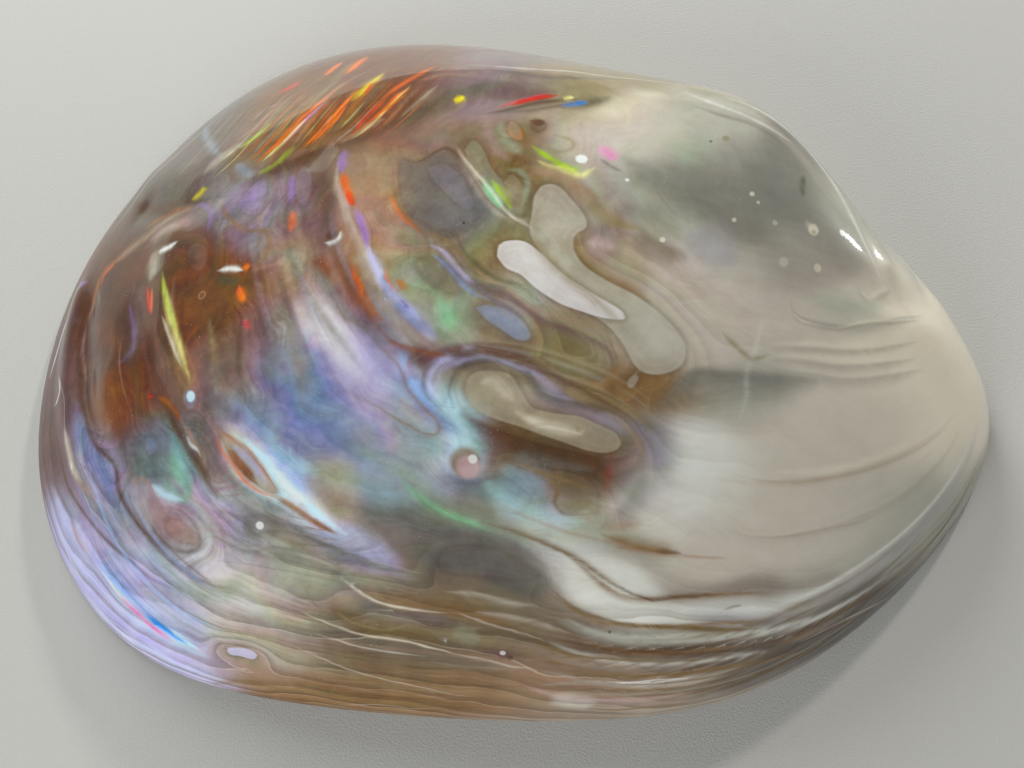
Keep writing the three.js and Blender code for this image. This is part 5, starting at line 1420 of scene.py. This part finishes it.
def painted(x, y, strokes):
    """The wide soft colours of the outside at places of the chart, with the wide strokes over them.

    Zones are averaged with bell-shaped weights, at places shifted by some waves, so that their borders wander.
    Far from all of them lies a ground that goes from brown at the narrow end to pale at the beak end.
    """
    sx = x + 0.8 * waves(x, y, 9, 0.3)
    sy = y + 0.8 * waves(x, y, 9, 1.9)
    towards_beak = np.clip((sx + 2 * waves(x, y, 14, 4.1) + 50) / 85, 0, 1)[:, None]
    weights = np.full(len(x), GROUND)
    total = GROUND * (linear("russet") + towards_beak * (linear("stone") - linear("russet")))
    for _, name, strength, cx, cy, along, across, turn in ZONES:
        spot = (cx, cy, along * 0.85, across * 0.85, math.radians(turn))
        weight = strength * bell(sx, sy, spot)
        weights += weight
        total += weight[:, None] * linear(name)
    colour = total / weights[:, None]
    for _, name, strength, left, right, places in strokes:
        if max(left, right) >= WIDE:
            left, right = max(left, GRID_STEP), max(right, GRID_STEP)
            at, _, across, share = stroke_at(x, y, strength, left, right, places)
            seen = share * np.exp(-0.8 * across**2)
            colour[at] += seen[:, None] * (linear(name) - colour[at])
    return colour


def line_fields(x, y, strokes):
    """The fine strokes, shared out over a few sheets so that those of one sheet lie as far apart as possible.

    A sheet holds three things for each place: how far it is to the left of the nearest stroke, as a multiple of
    that stroke's width on that side (to the right is negative), the stroke's share, and its colour. The share
    falls to nothing midway between two strokes of a sheet, so that their borders don't show.
    """
    sheets = []
    for _ in range(SHEETS):
        far = np.full(len(x), 9.0)
        sheet = {"side": far.copy(), "share": np.zeros(len(x)), "near": far.copy(), "next": far.copy()}
        sheet["colour"] = np.zeros((len(x), 3))
        sheets.append(sheet)
    for _, name, strength, left, right, places in strokes:
        if max(left, right) >= WIDE:
            continue
        at, distance, across, share = stroke_at(x, y, strength, left, right, places)
        if not len(at):
            continue
        taken = [np.clip(1.5 - sheet["near"][at], 0, None)[distance < 0.8].sum() for sheet in sheets]
        sheet = sheets[int(np.argmin(taken))]
        near = sheet["near"][at]
        sheet["next"][at] = np.minimum(sheet["next"][at], np.maximum(near, distance))
        wins = distance < near
        at = at[wins]
        sheet["near"][at] = distance[wins]
        sheet["side"][at] = across[wins]
        sheet["share"][at] = share[wins]
        sheet["colour"][at] = linear(name)
    for sheet in sheets:
        sheet["share"] *= np.clip((sheet["next"] - sheet["near"]) / GRID_STEP - 1, 0, 1)
    return sheets


def patch_fields(x, y, patches):
    """How deep each place is inside the nearest patch, in millimetres, that patch's strength, and its colour.

    Outside all patches the depth is negative. A place is inside an outline if a line from it to the right
    crosses the outline an odd number of times.
    """
    depth = np.full(len(x), -9.0)
    shares = np.zeros(len(x))
    colours = np.tile(linear("stone"), (len(x), 1))
    for _, name, strength, outline in patches:
        loop = outline + outline[:1]
        path = rounded(loop)
        at, distance, _, _ = near_curve(x, y, loop, 4)
        odd = np.zeros(len(at), bool)
        px, py = x[at], y[at]
        for (ax, ay), (bx, by) in zip(path[:-1], path[1:]):
            if ay != by:
                odd ^= ((ay > py) != (by > py)) & (px < ax + (py - ay) * (bx - ax) / (by - ay))
        deep = np.where(odd, distance, -distance)
        closer = deep > depth[at]
        depth[at] = np.where(closer, deep, depth[at])
        shares[at[closer]] = strength
        colours[at[closer]] = linear(name)
    return depth, shares, colours


def growth_field(x, y):
    """Growth from 0 at the beak to 1 at the rim: the distance from the beak as a share of the rim's distance.

    Towards the narrow end's front corner the shell grew a little faster, in a bell-shaped sector.
    """
    from_beak = rim_points(np.linspace(0, 1, 720, endpoint=False))[:, :2] - BEAK[:2]
    angles = np.arctan2(from_beak[:, 1], from_beak[:, 0])
    order = np.argsort(angles)
    reach = np.hypot(from_beak[:, 0], from_beak[:, 1])[order]
    angle = np.arctan2(y - BEAK[1], x - BEAK[0])
    share = np.hypot(x - BEAK[0], y - BEAK[1]) / np.interp(angle, angles[order], reach, period=2 * math.pi)
    corner = np.mod(angle - math.radians(221) + math.pi, 2 * math.pi) - math.pi
    return share / (1 - 0.13 * np.exp(-((corner / math.radians(20)) ** 2)))


def layer_field(x, y, growth, rise, depth):
    """Which layer lies open at each place, as a running number that grows outwards.

    Layers follow the growth, bend round the relief and round the patches, and wander with some waves.
    """
    rings = 1.8 * np.exp(-0.5 * (np.minimum(depth, 0) / 1.4) ** 2)
    return 26 * growth + rings + 0.9 * rise + 0.35 * waves(x, y, 16, 0.7) + 0.06 * waves(x, y, 5, 2.2)


def strongest(x, y, areas):
    """The largest of the bells of some areas: strength, centre, half lengths along and across, degrees turned."""
    most = np.zeros_like(x)
    for strength, cx, cy, along, across, turn in areas:
        most = np.maximum(most, strength * bell(x, y, (cx, cy, along, across, math.radians(turn))))
    return most


def crowded(count, middle):
    """count + 1 values from -1 to 1, closest together at the given share of the way: an even row plus a sine."""
    even = np.linspace(0, 1, count + 1)
    turn = 2 * math.pi
    return -1 + 2 * (even - 0.3 / turn * (np.sin(turn * (even - middle)) + math.sin(turn * middle)))


def square_on_disc(columns, rows):
    """A grid of columns by rows squares laid on a disc: how far out (0 to 1) and the part of a turn of each point.

    A point of the square goes to the ring that its larger coordinate gives, at an angle given by the ratio of
    the two. Rings keep even steps between those of the chart and those of the plan. The grid is closer together
    left of the middle, where the pattern is finest.
    """
    u, v = crowded(columns, 0.4), crowded(rows, 0.42)
    u, v = np.meshgrid(u, v)
    wide = np.abs(u) >= np.abs(v)
    out = np.where(wide, u, v)
    with np.errstate(divide="ignore", invalid="ignore"):
        angle = np.where(wide, (math.pi / 4) * np.nan_to_num(v / u), math.pi / 2 - (math.pi / 4) * np.nan_to_num(u / v))
    angle = np.where(out < 0, angle + math.pi, angle)
    ring = np.clip(np.abs(out), 0, 1)
    return (ring + np.arcsin(ring) * 2 / math.pi) / 2, (angle / (2 * math.pi)) % 1.0


def grid_faces(columns, rows, first, turned_over):
    """Squares between neighbouring points of a grid that is stored row by row."""
    index = first + np.arange((columns + 1) * (rows + 1)).reshape(rows + 1, columns + 1)
    corners = [index[:-1, :-1], index[1:, :-1], index[1:, 1:], index[:-1, 1:]]
    if turned_over:
        corners.reverse()
    return np.stack(corners, -1).reshape(-1, 4)


def grid_border(columns, rows, first):
    """The grid's outermost points in order round it."""
    index = first + np.arange((columns + 1) * (rows + 1)).reshape(rows + 1, columns + 1)
    return np.concatenate([index[0, :-1], index[:-1, -1], index[-1, :0:-1], index[:0:-1, 0]])


def rim_faces(outer, inner):
    """Triangles that fill the flat band between a fine outer loop and a coarser inner loop."""
    step = len(outer) // len(inner)
    k = np.arange(len(outer))
    nearest = inner[((k + step // 2) // step) % len(inner)]
    fine = np.stack([outer, outer[(k + 1) % len(outer)], nearest], -1)
    j = np.arange(len(inner))
    turn = outer[(step * j + (step - step // 2)) % len(outer)]
    coarse = np.stack([inner[j], turn, inner[(j + 1) % len(inner)]], -1)
    return np.concatenate([fine, coarse])


def rim_inset(turns, sizes):
    """The flat rim's width round the turn: even, with a flat-topped bell below the hinge."""
    wider = np.exp(-(((turns - HINGE_TURN) / 0.1) ** 4))
    return (sizes.rim_width + (sizes.hinge_width - sizes.rim_width) * wider) / MM


def make_mesh(name, points, faces, smooth_angle):
    """A mesh from points in metres and lists of faces, shaded smooth except at sharp corners."""
    mesh = bpy.data.meshes.new(name)
    sizes = np.concatenate([np.full(len(f), f.shape[1]) for f in faces])
    corners = np.concatenate([f.ravel() for f in faces]).astype(np.int32)
    mesh.vertices.add(len(points))
    mesh.vertices.foreach_set("co", points.astype(np.float32).ravel())
    mesh.loops.add(len(corners))
    mesh.loops.foreach_set("vertex_index", corners)
    mesh.polygons.add(len(sizes))
    mesh.polygons.foreach_set("loop_start", np.r_[0, np.cumsum(sizes)[:-1]].astype(np.int32))
    mesh.polygons.foreach_set("loop_total", sizes.astype(np.int32))
    mesh.update(calc_edges=True)
    mesh.validate()
    mesh.shade_smooth()
    mesh.set_sharp_from_angle(angle=smooth_angle)
    return mesh


def valve_mesh(sizes):
    """The valve: the outside grid, a coarser inside grid, and the flat rim between their borders.

    Each grid point is a point of the dome moved along its normal by the relief of its side. The whole is moved
    so that the middle of its outline is at x = 0 and y = 0, as in the CAD part.
    """
    height = sizes.crown_height / MM
    out, turns = square_on_disc(sizes.columns, sizes.rows)
    flat = np.zeros_like(out)
    outside, chart = dome(out, turns, height, flat)
    x, y = chart[..., 0].ravel(), chart[..., 1].ravel()
    rise = outside_relief(x, y).reshape(out.shape) * (1 - out**12)
    outside = outside + outward(out, turns, height, flat) * rise[..., None]

    columns, rows = sizes.columns // 5, sizes.rows // 5
    out_in = out[::5, ::5]
    turns_in = turns[::5, ::5]
    inset = rim_inset(turns_in, sizes)
    inner_height = height - sizes.crown_wall / MM
    inside, chart_in = dome(out_in, turns_in, inner_height, inset)
    rise_in = inside_relief(chart_in[..., 0].ravel(), chart_in[..., 1].ravel()).reshape(out_in.shape)
    inside = inside + outward(out_in, turns_in, inner_height, inset) * (rise_in * (1 - out_in**12))[..., None]

    points = np.concatenate([outside.reshape(-1, 3), inside.reshape(-1, 3)])
    middle = (points.min(0) + points.max(0)) / 2
    points -= [middle[0], middle[1], 0]
    first = outside.shape[0] * outside.shape[1]
    outer = grid_border(sizes.columns, sizes.rows, 0)
    inner = grid_border(columns, rows, first)
    faces = [
        grid_faces(sizes.columns, sizes.rows, 0, False),
        grid_faces(columns, rows, first, True),
        rim_faces(outer, inner),
    ]
    mesh = make_mesh("pearl_valve", points * MM, faces, math.radians(50))
    growth = growth_field(x, y)
    rise = outside_relief(x, y)
    depth, patch_shares, patch_colours = patch_fields(x, y, PATCHES)
    inner_depth, inner_shares, inner_colours = patch_fields(x, y, INNER_PATCHES)
    front = np.clip((growth - 0.72) / 0.1, 0, 1) * np.clip(-y / 10, 0, 1)
    numbers = {
        "chart_x": x,
        "chart_y": y,
        "growth": growth,
        "around": np.arctan2(y - BEAK[1], x - BEAK[0]) % (2 * math.pi),
        "layers": layer_field(x, y, growth, rise, depth),
        "banding": np.maximum(strongest(x, y, BANDED), 0.9 * front),
        "shimmer": strongest(x, y, SHIMMERING),
        "patch_depth": depth,
        "patch_share": patch_shares,
        "inner_depth": inner_depth,
        "inner_share": inner_shares,
        "outside": np.ones(first),
    }
    strokes = all_strokes()
    colours = {"paint": painted(x, y, strokes), "patch_colour": patch_colours, "inner_colour": inner_colours}
    for k, sheet in enumerate(line_fields(x, y, strokes)):
        numbers[f"line_side_{k}"] = sheet["side"]
        numbers[f"line_share_{k}"] = sheet["share"]
        colours[f"line_colour_{k}"] = sheet["colour"]
    within = len(points) - first
    for name, values in numbers.items():
        add_value(mesh, name, np.concatenate([values, np.zeros(within)]))
    for name, values in colours.items():
        add_colour(mesh, name, np.concatenate([values, np.tile(linear("silver"), (within, 1))]))
    return mesh


def add_value(mesh, name, values):
    """Stores one number for each point of the mesh."""
    layer = mesh.attributes.new(name, "FLOAT", "POINT")
    layer.data.foreach_set("value", values.astype(np.float32))


def add_colour(mesh, name, colours):
    """Stores one colour for each point of the mesh."""
    layer = mesh.attributes.new(name, "FLOAT_COLOR", "POINT")
    rgba = np.concatenate([colours, np.ones((len(colours), 1))], 1)
    layer.data.foreach_set("color", rgba.astype(np.float32).ravel())


class Nodes:
    """Builds one material: each method adds a node and gives back the socket with its result."""

    def __init__(self, name):
        self.material = bpy.data.materials.new(name)
        self.material.use_nodes = True
        self.tree = self.material.node_tree
        self.shader = self.tree.nodes["Principled BSDF"]

    def plug(self, value, socket):
        """Links a result to a socket, or sets a plain value on it."""
        if isinstance(value, bpy.types.NodeSocket):
            self.tree.links.new(value, socket)
        elif isinstance(value, str):
            socket.default_value = (*linear(value), 1)
        else:
            socket.default_value = value

    def number(self, name):
        """A number stored on the mesh."""
        node = self.tree.nodes.new("ShaderNodeAttribute")
        node.attribute_name = name
        return node.outputs["Fac"]

    def colour(self, name):
        """A colour stored on the mesh."""
        node = self.tree.nodes.new("ShaderNodeAttribute")
        node.attribute_name = name
        return node.outputs["Color"]

    def math(self, operation, *values, clamp=False):
        """One step of arithmetic."""
        node = self.tree.nodes.new("ShaderNodeMath")
        node.operation = operation
        node.use_clamp = clamp
        for value, socket in zip(values, node.inputs):
            self.plug(value, socket)
        return node.outputs[0]

    def product(self, *values):
        """All the values multiplied together."""
        result = values[0]
        for value in values[1:]:
            result = self.math("MULTIPLY", result, value)
        return result

    def rise(self, value, low, high):
        """Smoothly from 0 at the low value to 1 at the high one; the other way round where low is the larger."""
        node = self.tree.nodes.new("ShaderNodeMapRange")
        node.interpolation_type = "SMOOTHSTEP"
        self.plug(value, node.inputs["Value"])
        self.plug(min(low, high), node.inputs["From Min"])
        self.plug(max(low, high), node.inputs["From Max"])
        self.plug(0.0 if low < high else 1.0, node.inputs["To Min"])
        self.plug(1.0 if low < high else 0.0, node.inputs["To Max"])
        return node.outputs["Result"]

    def mix(self, share, first, second, blend="MIX"):
        """A share of the second colour mixed into the first."""
        node = self.tree.nodes.new("ShaderNodeMix")
        node.data_type = "RGBA"
        node.blend_type = blend
        self.plug(share, node.inputs[0])
        self.plug(first, node.inputs[6])
        self.plug(second, node.inputs[7])
        return node.outputs[2]

    def place(self, turn=0.0, scale=(1, 1, 1)):
        """Places on the object in millimetres, turned about the upright axis and then stretched."""
        where = self.tree.nodes.new("ShaderNodeTexCoord")
        node = self.tree.nodes.new("ShaderNodeMapping")
        node.inputs["Rotation"].default_value = (0, 0, turn)
        node.inputs["Scale"].default_value = [1000 * s for s in scale]
        self.plug(where.outputs["Object"], node.inputs["Vector"])
        return node.outputs["Vector"]

    def noise(self, place, size, detail=2.0, rough=0.5):
        """Clouds of about the given size, from 0 to 1."""
        node = self.tree.nodes.new("ShaderNodeTexNoise")
        self.plug(place, node.inputs["Vector"])
        self.plug(1 / size, node.inputs["Scale"])
        self.plug(detail, node.inputs["Detail"])
        self.plug(rough, node.inputs["Roughness"])
        return node.outputs["Fac"]

    def chance(self, value):
        """The same random colour wherever the value is the same."""
        node = self.tree.nodes.new("ShaderNodeTexWhiteNoise")
        node.noise_dimensions = "1D"
        self.plug(value, node.inputs["W"])
        return node.outputs["Color"]

    def rainbow(self, hue, strength, value):
        """A colour of the rainbow, from red at 0 round to red at 1."""
        node = self.tree.nodes.new("ShaderNodeCombineColor")
        node.mode = "HSV"
        for part, socket in zip((hue, strength, value), node.inputs):
            self.plug(part, socket)
        return node.outputs["Color"]

    def bump(self, height, strength, distance, below=None):
        """Normals of a surface that rises by a share of the distance."""
        node = self.tree.nodes.new("ShaderNodeBump")
        self.plug(strength, node.inputs["Strength"])
        self.plug(distance * MM, node.inputs["Distance"])
        self.plug(height, node.inputs["Height"])
        if below:
            self.plug(below, node.inputs["Normal"])
        return node.outputs["Normal"]


def layered(g, colour, layers, banding):
    """Draws the layers as low terraces: each grows darker outwards and ends in a thin pale edge.

    How strong a terrace's shade and edge are, and its tint, differ from one to the next.
    """
    part = g.math("FRACT", layers)
    chance = g.chance(g.math("FLOOR", layers))
    shade = g.product(g.rise(part, 0.15, 0.88), g.rise(part, 0.97, 0.9))
    edge = g.product(g.rise(part, 0.9, 0.955), g.rise(part, 1.0, 0.97))
    tinted = g.mix(g.product(banding, 0.35), colour, g.mix(chance, "umber", "white"), "SOFT_LIGHT")
    dark = g.mix(1.0, tinted, "taupe", "MULTIPLY")
    shaded = g.mix(g.product(shade, banding, g.math("MULTIPLY_ADD", chance, 0.5, 0.25)), tinted, dark)
    return g.mix(g.product(edge, g.rise(banding, 0.5, 1.0), chance, 0.35), shaded, "cream")


def laid_open(g, colour, layer):
    """Lays a patch over the colour where its depth is above 0, with a thin dark edge and rings inside it.

    A patch of a small share is fainter still near its edge.
    """
    depth, share = g.number(f"{layer}_depth"), g.number(f"{layer}_share")
    centre = g.math("MULTIPLY_ADD", g.rise(depth, 0.0, 2.5), g.math("SUBTRACT", 1.0, share), share)
    inside = g.product(g.rise(depth, -0.1, 0.1), share, centre)
    edge = g.product(g.rise(depth, -0.6, 0.0), g.rise(depth, 0.4, 0.0), share)
    under = g.mix(g.product(edge, 0.35), colour, "umber")
    rings = g.math("SINE", g.product(depth, 9.0))
    ringed = g.mix(g.product(g.rise(depth, 1.6, 0.2), rings, 0.25), g.colour(f"{layer}_colour"), "white", "SOFT_LIGHT")
    filled = g.mix(g.product(g.rise(depth, 0.0, 3.0), 0.35), ringed, "white", "SOFT_LIGHT")
    return g.mix(inside, under, filled)


def drawn(g, colour, sheet, strands):
    """Draws the strokes of one sheet: a bell across each, by its two widths, broken up into strands."""
    side = g.number(f"line_side_{sheet}")
    bell_across = g.math("EXPONENT", g.product(side, side, -0.8))
    share = g.product(bell_across, g.number(f"line_share_{sheet}"), strands)
    return g.mix(share, colour, g.colour(f"line_colour_{sheet}"))


def spotted(g, colour):
    """Draws the round dots at their places on the chart."""
    join = g.tree.nodes.new("ShaderNodeCombineXYZ")
    g.plug(g.number("chart_x"), join.inputs["X"])
    g.plug(g.number("chart_y"), join.inputs["Y"])
    for _, name, strength, radius, (x, y) in DOTS:
        away = g.tree.nodes.new("ShaderNodeVectorMath")
        away.operation = "DISTANCE"
        g.plug(join.outputs["Vector"], away.inputs[0])
        away.inputs[1].default_value = (x, y, 0)
        round_spot = g.rise(away.outputs["Value"], 1.2 * radius, 0.7 * radius)
        colour = g.mix(g.product(round_spot, strength), colour, name)
    return colour


def nacre_material():
    """Polished nacre: painted soft colours, the edges of its layers, crisp patches, sheen and fine scratches."""
    g = Nodes("polished_nacre")
    place = g.place()
    shimmer = g.number("shimmer")
    wander = g.product(g.math("SUBTRACT", g.noise(place, 4.0, 3.0), 0.5), 0.3)
    layers = g.math("ADD", g.number("layers"), wander)

    thread_place = g.tree.nodes.new("ShaderNodeCombineXYZ")
    bent = g.product(g.noise(place, 9.0, 1.0), 12.0)
    g.plug(g.math("ADD", g.product(g.number("growth"), 160.0), bent), thread_place.inputs["X"])
    g.plug(g.product(g.number("around"), 5.0), thread_place.inputs["Y"])
    threads = g.noise(thread_place.outputs["Vector"], 1.0, 3.0, 0.6)

    hue = g.math("ADD", g.product(layers, 0.4), g.product(g.noise(place, 11.0, 2.0), 2.2))
    hue = g.math("ADD", hue, g.product(threads, 0.8))
    rainbow = g.rainbow(g.math("FRACT", hue), 0.45, 0.8)
    colour = g.mix(g.product(shimmer, 0.2), g.colour("paint"), rainbow, "OVERLAY")
    clouds = g.rise(g.noise(place, 7.0, 1.0), 0.35, 0.65)
    grain = g.mix(g.rise(threads, 0.3, 0.7), "umber", "white")
    colour = g.mix(g.math("ADD", g.product(shimmer, clouds, 0.35), 0.05), colour, grain, "SOFT_LIGHT")
    banding = g.number("banding")
    colour = layered(g, colour, g.product(layers, 3.3), g.product(banding, clouds, 0.5))
    colour = layered(g, colour, layers, banding)

    strands = g.math("MULTIPLY_ADD", g.rise(threads, 0.35, 0.6), 0.3, 0.7)
    for sheet in range(SHEETS // 2):
        colour = drawn(g, colour, sheet, strands)
    colour = laid_open(g, colour, "patch")
    colour = laid_open(g, colour, "inner")
    for sheet in range(SHEETS // 2, SHEETS):
        colour = drawn(g, colour, sheet, strands)
    colour = spotted(g, colour)

    mottle = g.rise(g.noise(place, 3.0, 4.0, 0.65), 0.25, 0.75)
    colour = g.mix(g.math("MULTIPLY_ADD", shimmer, 0.35, 0.08), colour, g.mix(mottle, "umber", "white"), "SOFT_LIGHT")
    flecks = g.rise(g.noise(place, 0.25, 1.0), 0.74, 0.8)
    colour = g.mix(g.product(flecks, g.math("ADD", shimmer, 0.3), clouds, 0.5), colour, "white")

    vivid = g.tree.nodes.new("ShaderNodeHueSaturation")
    vivid.inputs["Saturation"].default_value = 1.25
    g.plug(colour, vivid.inputs["Color"])

    silver = g.mix(g.noise(place, 22.0), "rose_pearl", "sage")
    silver = g.mix(0.6, silver, "white")
    g.plug(g.mix(g.number("outside"), silver, vivid.outputs["Color"]), g.shader.inputs["Base Color"])

    g.plug(g.math("ADD", g.product(threads, 0.25), 0.28), g.shader.inputs["Roughness"])
    smooth = g.bump(g.noise(place, 3.0, 2.0), 0.25, 0.25)
    g.plug(g.bump(threads, g.product(shimmer, 0.25), 0.12, smooth), g.shader.inputs["Normal"])
    g.shader.inputs["Metallic"].default_value = 0.2
    g.shader.inputs["Coat Weight"].default_value = 1
    g.shader.inputs["Coat Roughness"].default_value = 0.09
    return g.material


def table_material(colour):
    """A pale matt table with a fine pebbled grain."""
    g = Nodes("pebbled_table")
    g.shader.inputs["Base Color"].default_value = (*colour, 1)
    g.shader.inputs["Roughness"].default_value = 0.55
    g.plug(g.bump(g.noise(g.place(), 0.35, 1.0), 0.6, 0.12), g.shader.inputs["Normal"])
    return g.material


def shown(name, mesh):
    """Puts a mesh in the scene as an object at the origin."""
    piece = bpy.data.objects.new(name, mesh)
    bpy.context.scene.collection.objects.link(piece)
    return piece


class OBJECT_OT_pearl_valve(bpy.types.Operator):
    """Makes the valve with its nacre, in place of the CAD valve"""

    bl_idname = "object.pearl_valve"
    bl_label = "Pearl shell valve"

    def execute(self, context):
        sizes = context.scene.pearl_shell_sizes
        mesh = valve_mesh(sizes)
        mesh.materials.append(nacre_material())
        piece = shown("pearl_valve", mesh)
        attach(piece, "root")
        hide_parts("valve")
        return {"FINISHED"}


class OBJECT_OT_pearl_stage(bpy.types.Operator):
    """Makes the table, the lights and the camera"""

    bl_idname = "object.pearl_stage"
    bl_label = "Table, lights and camera"

    def execute(self, context):
        stage = context.scene.pearl_shell_stage
        half = 1.5
        corners = np.array([[-half, -half, 0], [half, -half, 0], [half, half, 0], [-half, half, 0]])
        table = shown("table", make_mesh("table", corners, [np.array([[0, 1, 2, 3]])], math.radians(30)))
        table.data.materials.append(table_material(stage.table_colour))

        camera = bpy.data.objects.new("camera", bpy.data.cameras.new("camera"))
        context.scene.collection.objects.link(camera)
        back = Vector((0, -math.cos(stage.elevation), math.sin(stage.elevation)))
        camera.location = Vector(stage.look_at) + back * stage.distance
        camera.rotation_mode = "QUATERNION"
        camera.rotation_quaternion = (-back).to_track_quat("-Z", "Y")
        camera.data.sensor_width = 36
        camera.data.lens = 36 * stage.distance / stage.frame_width
        camera.data.clip_start = 0.01
        context.scene.camera = camera

        for name, place, size, power, colour, lighting, mirrored in (
            ("low_sun", (0.43, 0.75, 0.5), 0.06, 4.6, (1.0, 0.95, 0.86), True, False),
            ("window", (-0.13, 0.38, 0.25), 0.26, 2.3, (0.96, 1.0, 1.0), True, False),
            ("front_fill", (-0.2, -0.42, 0.2), 0.4, 1.9, (1.0, 1.0, 1.0), True, False),
            ("edge_softbox", (0.7, 0.52, 0.22), 0.08, 0.8, (1.0, 1.0, 1.0), False, True),
        ):
            lamp = bpy.data.lights.new(name, "AREA")
            lamp.shape = "DISK"
            lamp.size = size
            lamp.energy = power
            lamp.color = colour
            light = bpy.data.objects.new(name, lamp)
            light.location = place
            light.rotation_mode = "QUATERNION"
            light.rotation_quaternion = (-Vector(place)).to_track_quat("-Z", "Y")
            light.visible_diffuse = lighting
            light.visible_glossy = mirrored
            context.scene.collection.objects.link(light)

        world = bpy.data.worlds.new("soft_room")
        world.use_nodes = True
        world.node_tree.nodes["Background"].inputs["Color"].default_value = (0.96, 0.98, 1.0, 1)
        world.node_tree.nodes["Background"].inputs["Strength"].default_value = 0.3
        context.scene.world = world
        context.scene.view_settings.view_transform = "Standard"
        return {"FINISHED"}


class VIEW3D_PT_pearl_shell(bpy.types.Panel):
    """The pearl shell's sizes and the buttons that make it"""

    bl_label = "Pearl shell"
    bl_space_type = "VIEW_3D"
    bl_region_type = "UI"
    bl_category = "Pearl shell"

    def draw(self, context):
        layout = self.layout
        for group in (context.scene.pearl_shell_sizes, context.scene.pearl_shell_stage):
            box = layout.box()
            for key in group.__annotations__:
                box.prop(group, key)
        layout.operator("object.pearl_valve")
        layout.operator("object.pearl_stage")


CLASSES = (
    PearlShellSizes,
    PearlShellStage,
    OBJECT_OT_pearl_valve,
    OBJECT_OT_pearl_stage,
    VIEW3D_PT_pearl_shell,
)


def register():
    for cls in CLASSES:
        bpy.utils.register_class(cls)
    bpy.types.Scene.pearl_shell_sizes = PointerProperty(type=PearlShellSizes)
    bpy.types.Scene.pearl_shell_stage = PointerProperty(type=PearlShellStage)


def unregister():
    del bpy.types.Scene.pearl_shell_stage
    del bpy.types.Scene.pearl_shell_sizes
    for cls in reversed(CLASSES):
        bpy.utils.unregister_class(cls)


def main():
    """Makes everything."""
    register()
    bpy.ops.object.pearl_valve()
    bpy.ops.object.pearl_stage()


if __name__ == "__main__":
    main()
